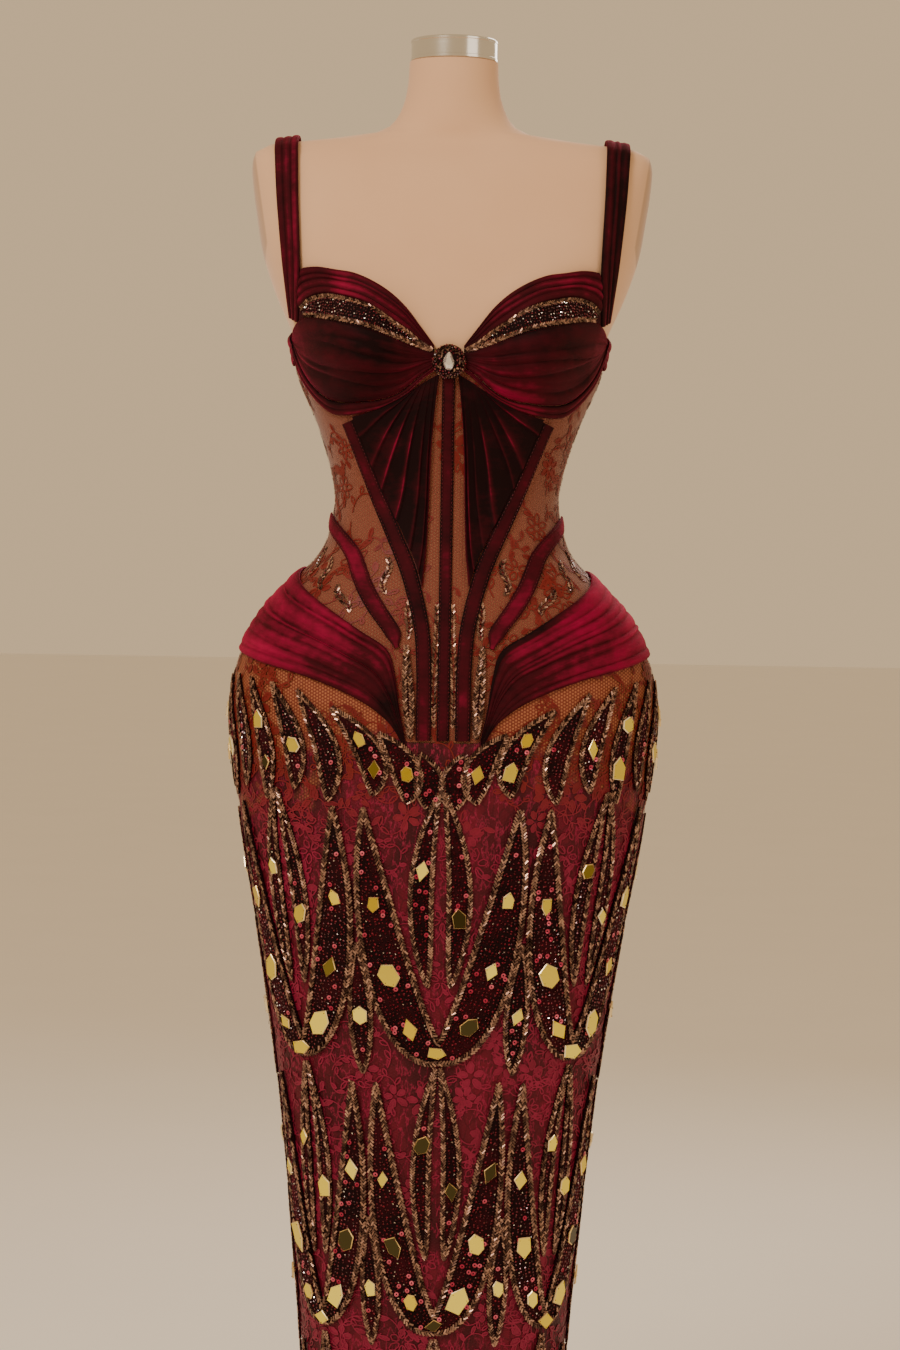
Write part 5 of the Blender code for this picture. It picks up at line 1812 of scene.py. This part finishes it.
class DressBroochOperator(bpy.types.Operator):
    """Bead cluster and cut crystal at the centre front"""
    bl_idname = "dress.brooch"
    bl_label = "Brooch"

    def execute(self, context):
        rng = np.random.default_rng(97)
        seat = figure(0.0, BROOCH_HEIGHT)
        half = np.array(CLUSTER_HALF)
        centre = seat + (0.0, -BROOCH_BACK - half[1], 0.0)
        golden = math.pi * (3 - math.sqrt(5))
        count = 150
        depth = 1 - (np.arange(count) + 0.5) / count
        ring = np.sqrt(1 - depth**2)
        turn = golden * np.arange(count)
        ball = np.column_stack([ring * np.cos(turn), -depth, ring * np.sin(turn)])
        points = centre + ball * half * (0.92, 0.80, 0.92)
        frames = frames_from(unit(np.cross(ball, (0.0, 1.0, 0.02))), unit(ball), rng.uniform(0, 3, count))
        cushion, cushion_faces = round_cushion(centre, half * (0.93, 0.78, 0.93))
        add_piece("brooch_cushion", cushion, cushion_faces,
                  beaded_cloth(),
                  ["brooch_cluster"], "beadwork")
        outside = np.hypot(points[:, 0] - seat[0], (points[:, 2] - seat[2]) * 0.7) > 0.0062
        points, frames = points[outside], frames[outside]
        bronze = rng.random(len(points)) < 0.5
        scatter("brooch_bugles", bugle_shape(), points[bronze], frames[bronze],
                np.tile((0.0036, 0.0016, 0.0016), (int(bronze.sum()), 1)), bugle_beads())
        scatter("brooch_seeds", round_shape(), points[~bronze], frames[~bronze],
                np.full((int((~bronze).sum()), 3), 0.0024), seed_beads())
        self.set_crystal(seat, half[1])
        return {"FINISHED"}

    def set_crystal(self, seat, half_depth):
        """Pear stone, point up, with a table, a crown in two rows of facets and a small setting rim."""
        sides = 18
        levels = ((0.80, 0.0), (1.0, 0.30), (0.80, 0.72), (0.50, 1.0))
        turns = 2 * math.pi * np.arange(sides) / sides
        taper = 1 - 0.45 * np.maximum(0.0, np.cos(turns))
        back = BROOCH_BACK + 2 * half_depth + SEAM_GAP
        points = []
        for level, (scale, depth) in enumerate(levels):
            shift = (math.pi / sides) * (level % 2)
            points.append(np.column_stack([
                seat[0] + scale * taper * CRYSTAL_WIDTH / 2 * np.sin(turns + shift),
                np.full(sides, seat[1] - back - depth * CRYSTAL_DEPTH),
                seat[2] + scale * CRYSTAL_LENGTH / 2 * np.cos(turns + shift),
            ]))
        faces = [tuple(range(sides)), tuple(reversed(range(3 * sides, 4 * sides)))]
        for level in range(3):
            for k in range(sides):
                a, b = level * sides + k, level * sides + (k + 1) % sides
                c, d = a + sides, b + sides
                faces += [(a, c, b), (b, c, d)] if level % 2 == 0 else [(a, c, d), (a, d, b)]
        add_piece("cut_crystal", np.concatenate(points), faces, finish("crystal", cut_crystal),
                  ["brooch_crystal"], "crystal", smooth=None)


def round_cushion(centre, half, steps=20):
    """A closed low dome's corners and faces."""
    turns = np.linspace(0, 2 * math.pi, steps, endpoint=False)
    rises = np.linspace(-math.pi / 2, math.pi / 2, steps // 2 + 1)[1:-1]
    turn, rise = np.meshgrid(turns, rises, indexing="ij")
    ball = np.stack([np.cos(rise) * np.cos(turn), np.cos(rise) * np.sin(turn), np.sin(rise)], axis=-1)
    index = np.arange(turn.size).reshape(turn.shape)
    faces = quads(np.vstack([index, index[:1]])).tolist()
    low, high = index.size, index.size + 1
    for k in range(steps):
        j = (k + 1) % steps
        faces.append((low, int(index[j, 0]), int(index[k, 0])))
        faces.append((high, int(index[k, -1]), int(index[j, -1])))
    points = np.concatenate([ball.reshape(-1, 3), [(0, 0, -1), (0, 0, 1)]])
    return centre + points * half, faces


class DressStitchesOperator(bpy.types.Operator):
    """Rows of stitches along the casings, the under-bust bands, the hem and the centre back"""
    bl_idname = "dress.stitches"
    bl_label = "Stitches"

    def execute(self, context):
        length, thick, pitch = 0.0023, 0.0005, 0.0036
        rows = []
        low, high = CENTRE_CASING_ENDS
        over_casing = OVER_NET + CASING_WALL + 0.0003
        for edge in (0.12, 0.88):
            rows.append((lambda share, edge=edge: ribbon_place(
                lambda s: (np.zeros_like(s), low + s * (high - low)),
                lambda s: CENTRE_CASING_WIDTH, edge, share), over_casing - CENTRE_CASING_DROP))
            for side, _ in SIDES:
                for table in (INNER_CASING, OUTER_CASING[1:]):
                    def route(share, table=table, side=side):
                        degrees, height = on_route(table, share)
                        return side * degrees, height
                    rows.append((lambda share, route=route, edge=edge: ribbon_place(
                        route, lambda s: CASING_WIDTH, edge, share), over_casing))
        for side, _ in SIDES:
            def band(share, side=side):
                degrees = 8.0 + share * 66.0
                return side * degrees, cup_edges(degrees)["band_low"] + 0.0016

            def hem(share, side=side):
                return side * 179.6 * share, np.full_like(share, HEM_HEIGHT + 0.021)

            def back(share, side=side):
                return side * (179.0 + 0.0 * share), 0.060 + share * 0.885
            rows += [(band, OVER_NET + VELVET_WALL + 0.0006), (hem, SKIN_CLEARANCE + SKIRT_WALL + 0.0003),
                     (back, SKIN_CLEARANCE + SKIRT_WALL + 0.0005)]
        points, frames = [], []
        for route, offset in rows:
            samples = np.linspace(0.0, 1.0, 400)
            path = figure(*route(samples))
            run = np.concatenate([[0.0], np.cumsum(np.linalg.norm(np.diff(path, axis=0), axis=1))])
            share = np.interp(np.arange(pitch, run[-1] - pitch, pitch), run, samples)
            degrees, height = route(share)
            normal, ahead = surface_frame(degrees, height, unit_along(route, share))
            points.append(off_figure(degrees, height, np.full_like(share, offset)))
            frames.append(frames_from(ahead, normal, np.zeros(len(share))))
        points, frames = np.concatenate(points), np.concatenate(frames)
        scatter("stitches", round_shape(), points, frames, np.tile((length, thick, thick), (len(points), 1)),
                stitch_thread())
        return {"FINISHED"}


class DressClosureOperator(bpy.types.Operator):
    """Concealed zip tape under the centre back seam"""
    bl_idname = "dress.closure"
    bl_label = "Back closure"

    def execute(self, context):
        low, high = 0.800, 1.222

        def place(u, v):
            return 180.0 + (u - 0.5) * 5.0, low + v * (high - low)

        over_figure("back_zip_tape", 4, 80, place, 0.0006, 0.0009, plain_velvet())
        return {"FINISHED"}


class DressStageOperator(bpy.types.Operator):
    """Floor, soft light and the camera"""
    bl_idname = "dress.stage"
    bl_label = "Stage"

    def execute(self, context):
        settings = context.scene.dress_stage
        self.make_floor(settings)
        self.make_world(settings)
        target = Vector((0.0, 0.0, 1.0))
        for name, place, size, energy, colour in (
            ("key_light", (-1.5, -2.5, 3.0), 1.2, 74.0, (1.0, 0.90, 0.78)),
            ("fill_light", (2.4, -2.0, 1.6), 1.6, 12.0, (1.0, 0.88, 0.76)),
            ("back_light", (0.8, 2.2, 2.4), 1.4, 24.0, (1.0, 0.92, 0.84)),
        ):
            light = bpy.data.lights.new(name, "AREA")
            light.size, light.energy, light.color = size, energy, colour
            lamp = bpy.data.objects.new(name, light)
            lamp.location = place
            lamp.rotation_euler = (target - Vector(place)).to_track_quat("-Z", "Y").to_euler()
            context.scene.collection.objects.link(lamp)
        camera = bpy.data.objects.new("camera", bpy.data.cameras.new("camera"))
        camera.data.lens, camera.data.sensor_width = settings.lens, 36.0
        turned = Matrix.Rotation(math.pi / 2 - settings.pitch, 4, "X") @ Matrix.Rotation(settings.roll, 4, "Z")
        camera.matrix_world = Matrix.Translation(
            (settings.camera_across, -settings.camera_distance, settings.camera_height)) @ turned
        context.scene.collection.objects.link(camera)
        context.scene.camera = camera
        return {"FINISHED"}

    def make_floor(self, settings):
        reach = 30.0
        mesh = bpy.data.meshes.new("floor")
        mesh.from_pydata([(-reach, -reach, 0), (reach, -reach, 0), (reach, reach, 0), (-reach, reach, 0)], [],
                         [(0, 1, 2, 3)])
        made, tree, shader = new_finish("stage_floor")
        grain = noise(tree, position(tree), 3.0, 4.0)
        ground = settings.ground[:]
        tree.links.new(mix_colour(tree, grain, [c * 0.96 for c in ground], ground), shader.inputs["Base Color"])
        shader.inputs["Roughness"].default_value = 0.9
        mesh.materials.append(made)
        floor = bpy.data.objects.new("floor", mesh)
        bpy.context.scene.collection.objects.link(floor)

    def make_world(self, settings):
        world = bpy.data.worlds.new("studio")
        world.use_nodes = True
        background = world.node_tree.nodes["Background"]
        background.inputs["Color"].default_value = (*settings.air[:], 1.0)
        background.inputs["Strength"].default_value = 0.85
        bpy.context.scene.world = world


class DressPanel(bpy.types.Panel):
    """Buttons and settings of the dress"""
    bl_label = "Evening dress"
    bl_idname = "VIEW3D_PT_evening_dress"
    bl_space_type = "VIEW_3D"
    bl_region_type = "UI"
    bl_category = "Dress"

    def draw(self, context):
        layout = self.layout
        for group in SETTINGS:
            box = layout.box()
            owner = getattr(context.scene, group)
            for field in owner.__annotations__:
                box.prop(owner, field)
        for operator in OPERATORS:
            layout.operator(operator.bl_idname)


OPERATORS = (
    DressFormOperator,
    DressNetOperator,
    DressSkirtOperator,
    DressLaceOperator,
    DressCupsOperator,
    DressFansOperator,
    DressCasingsOperator,
    DressStrapsOperator,
    DressHipsOperator,
    DressBeadworkOperator,
    DressCupBeadsOperator,
    DressBroochOperator,
    DressStitchesOperator,
    DressClosureOperator,
    DressStageOperator,
)
SETTINGS = {
    "dress_velvet": DressVelvetSettings,
    "dress_lace": DressLaceSettings,
    "dress_beads": DressBeadSettings,
    "dress_form": DressFormSettings,
    "dress_stage": DressStageSettings,
}


def register():
    for kind in (*SETTINGS.values(), *OPERATORS, DressPanel):
        bpy.utils.register_class(kind)
    for name, kind in SETTINGS.items():
        setattr(bpy.types.Scene, name, bpy.props.PointerProperty(type=kind))


def unregister():
    for name in SETTINGS:
        delattr(bpy.types.Scene, name)
    for kind in (DressPanel, *reversed(OPERATORS), *reversed(SETTINGS.values())):
        bpy.utils.unregister_class(kind)


def main():
    register()
    for operator in OPERATORS:
        group, action = operator.bl_idname.split(".")
        getattr(getattr(bpy.ops, group), action)()
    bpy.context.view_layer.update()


if __name__ == "__main__":
    main()
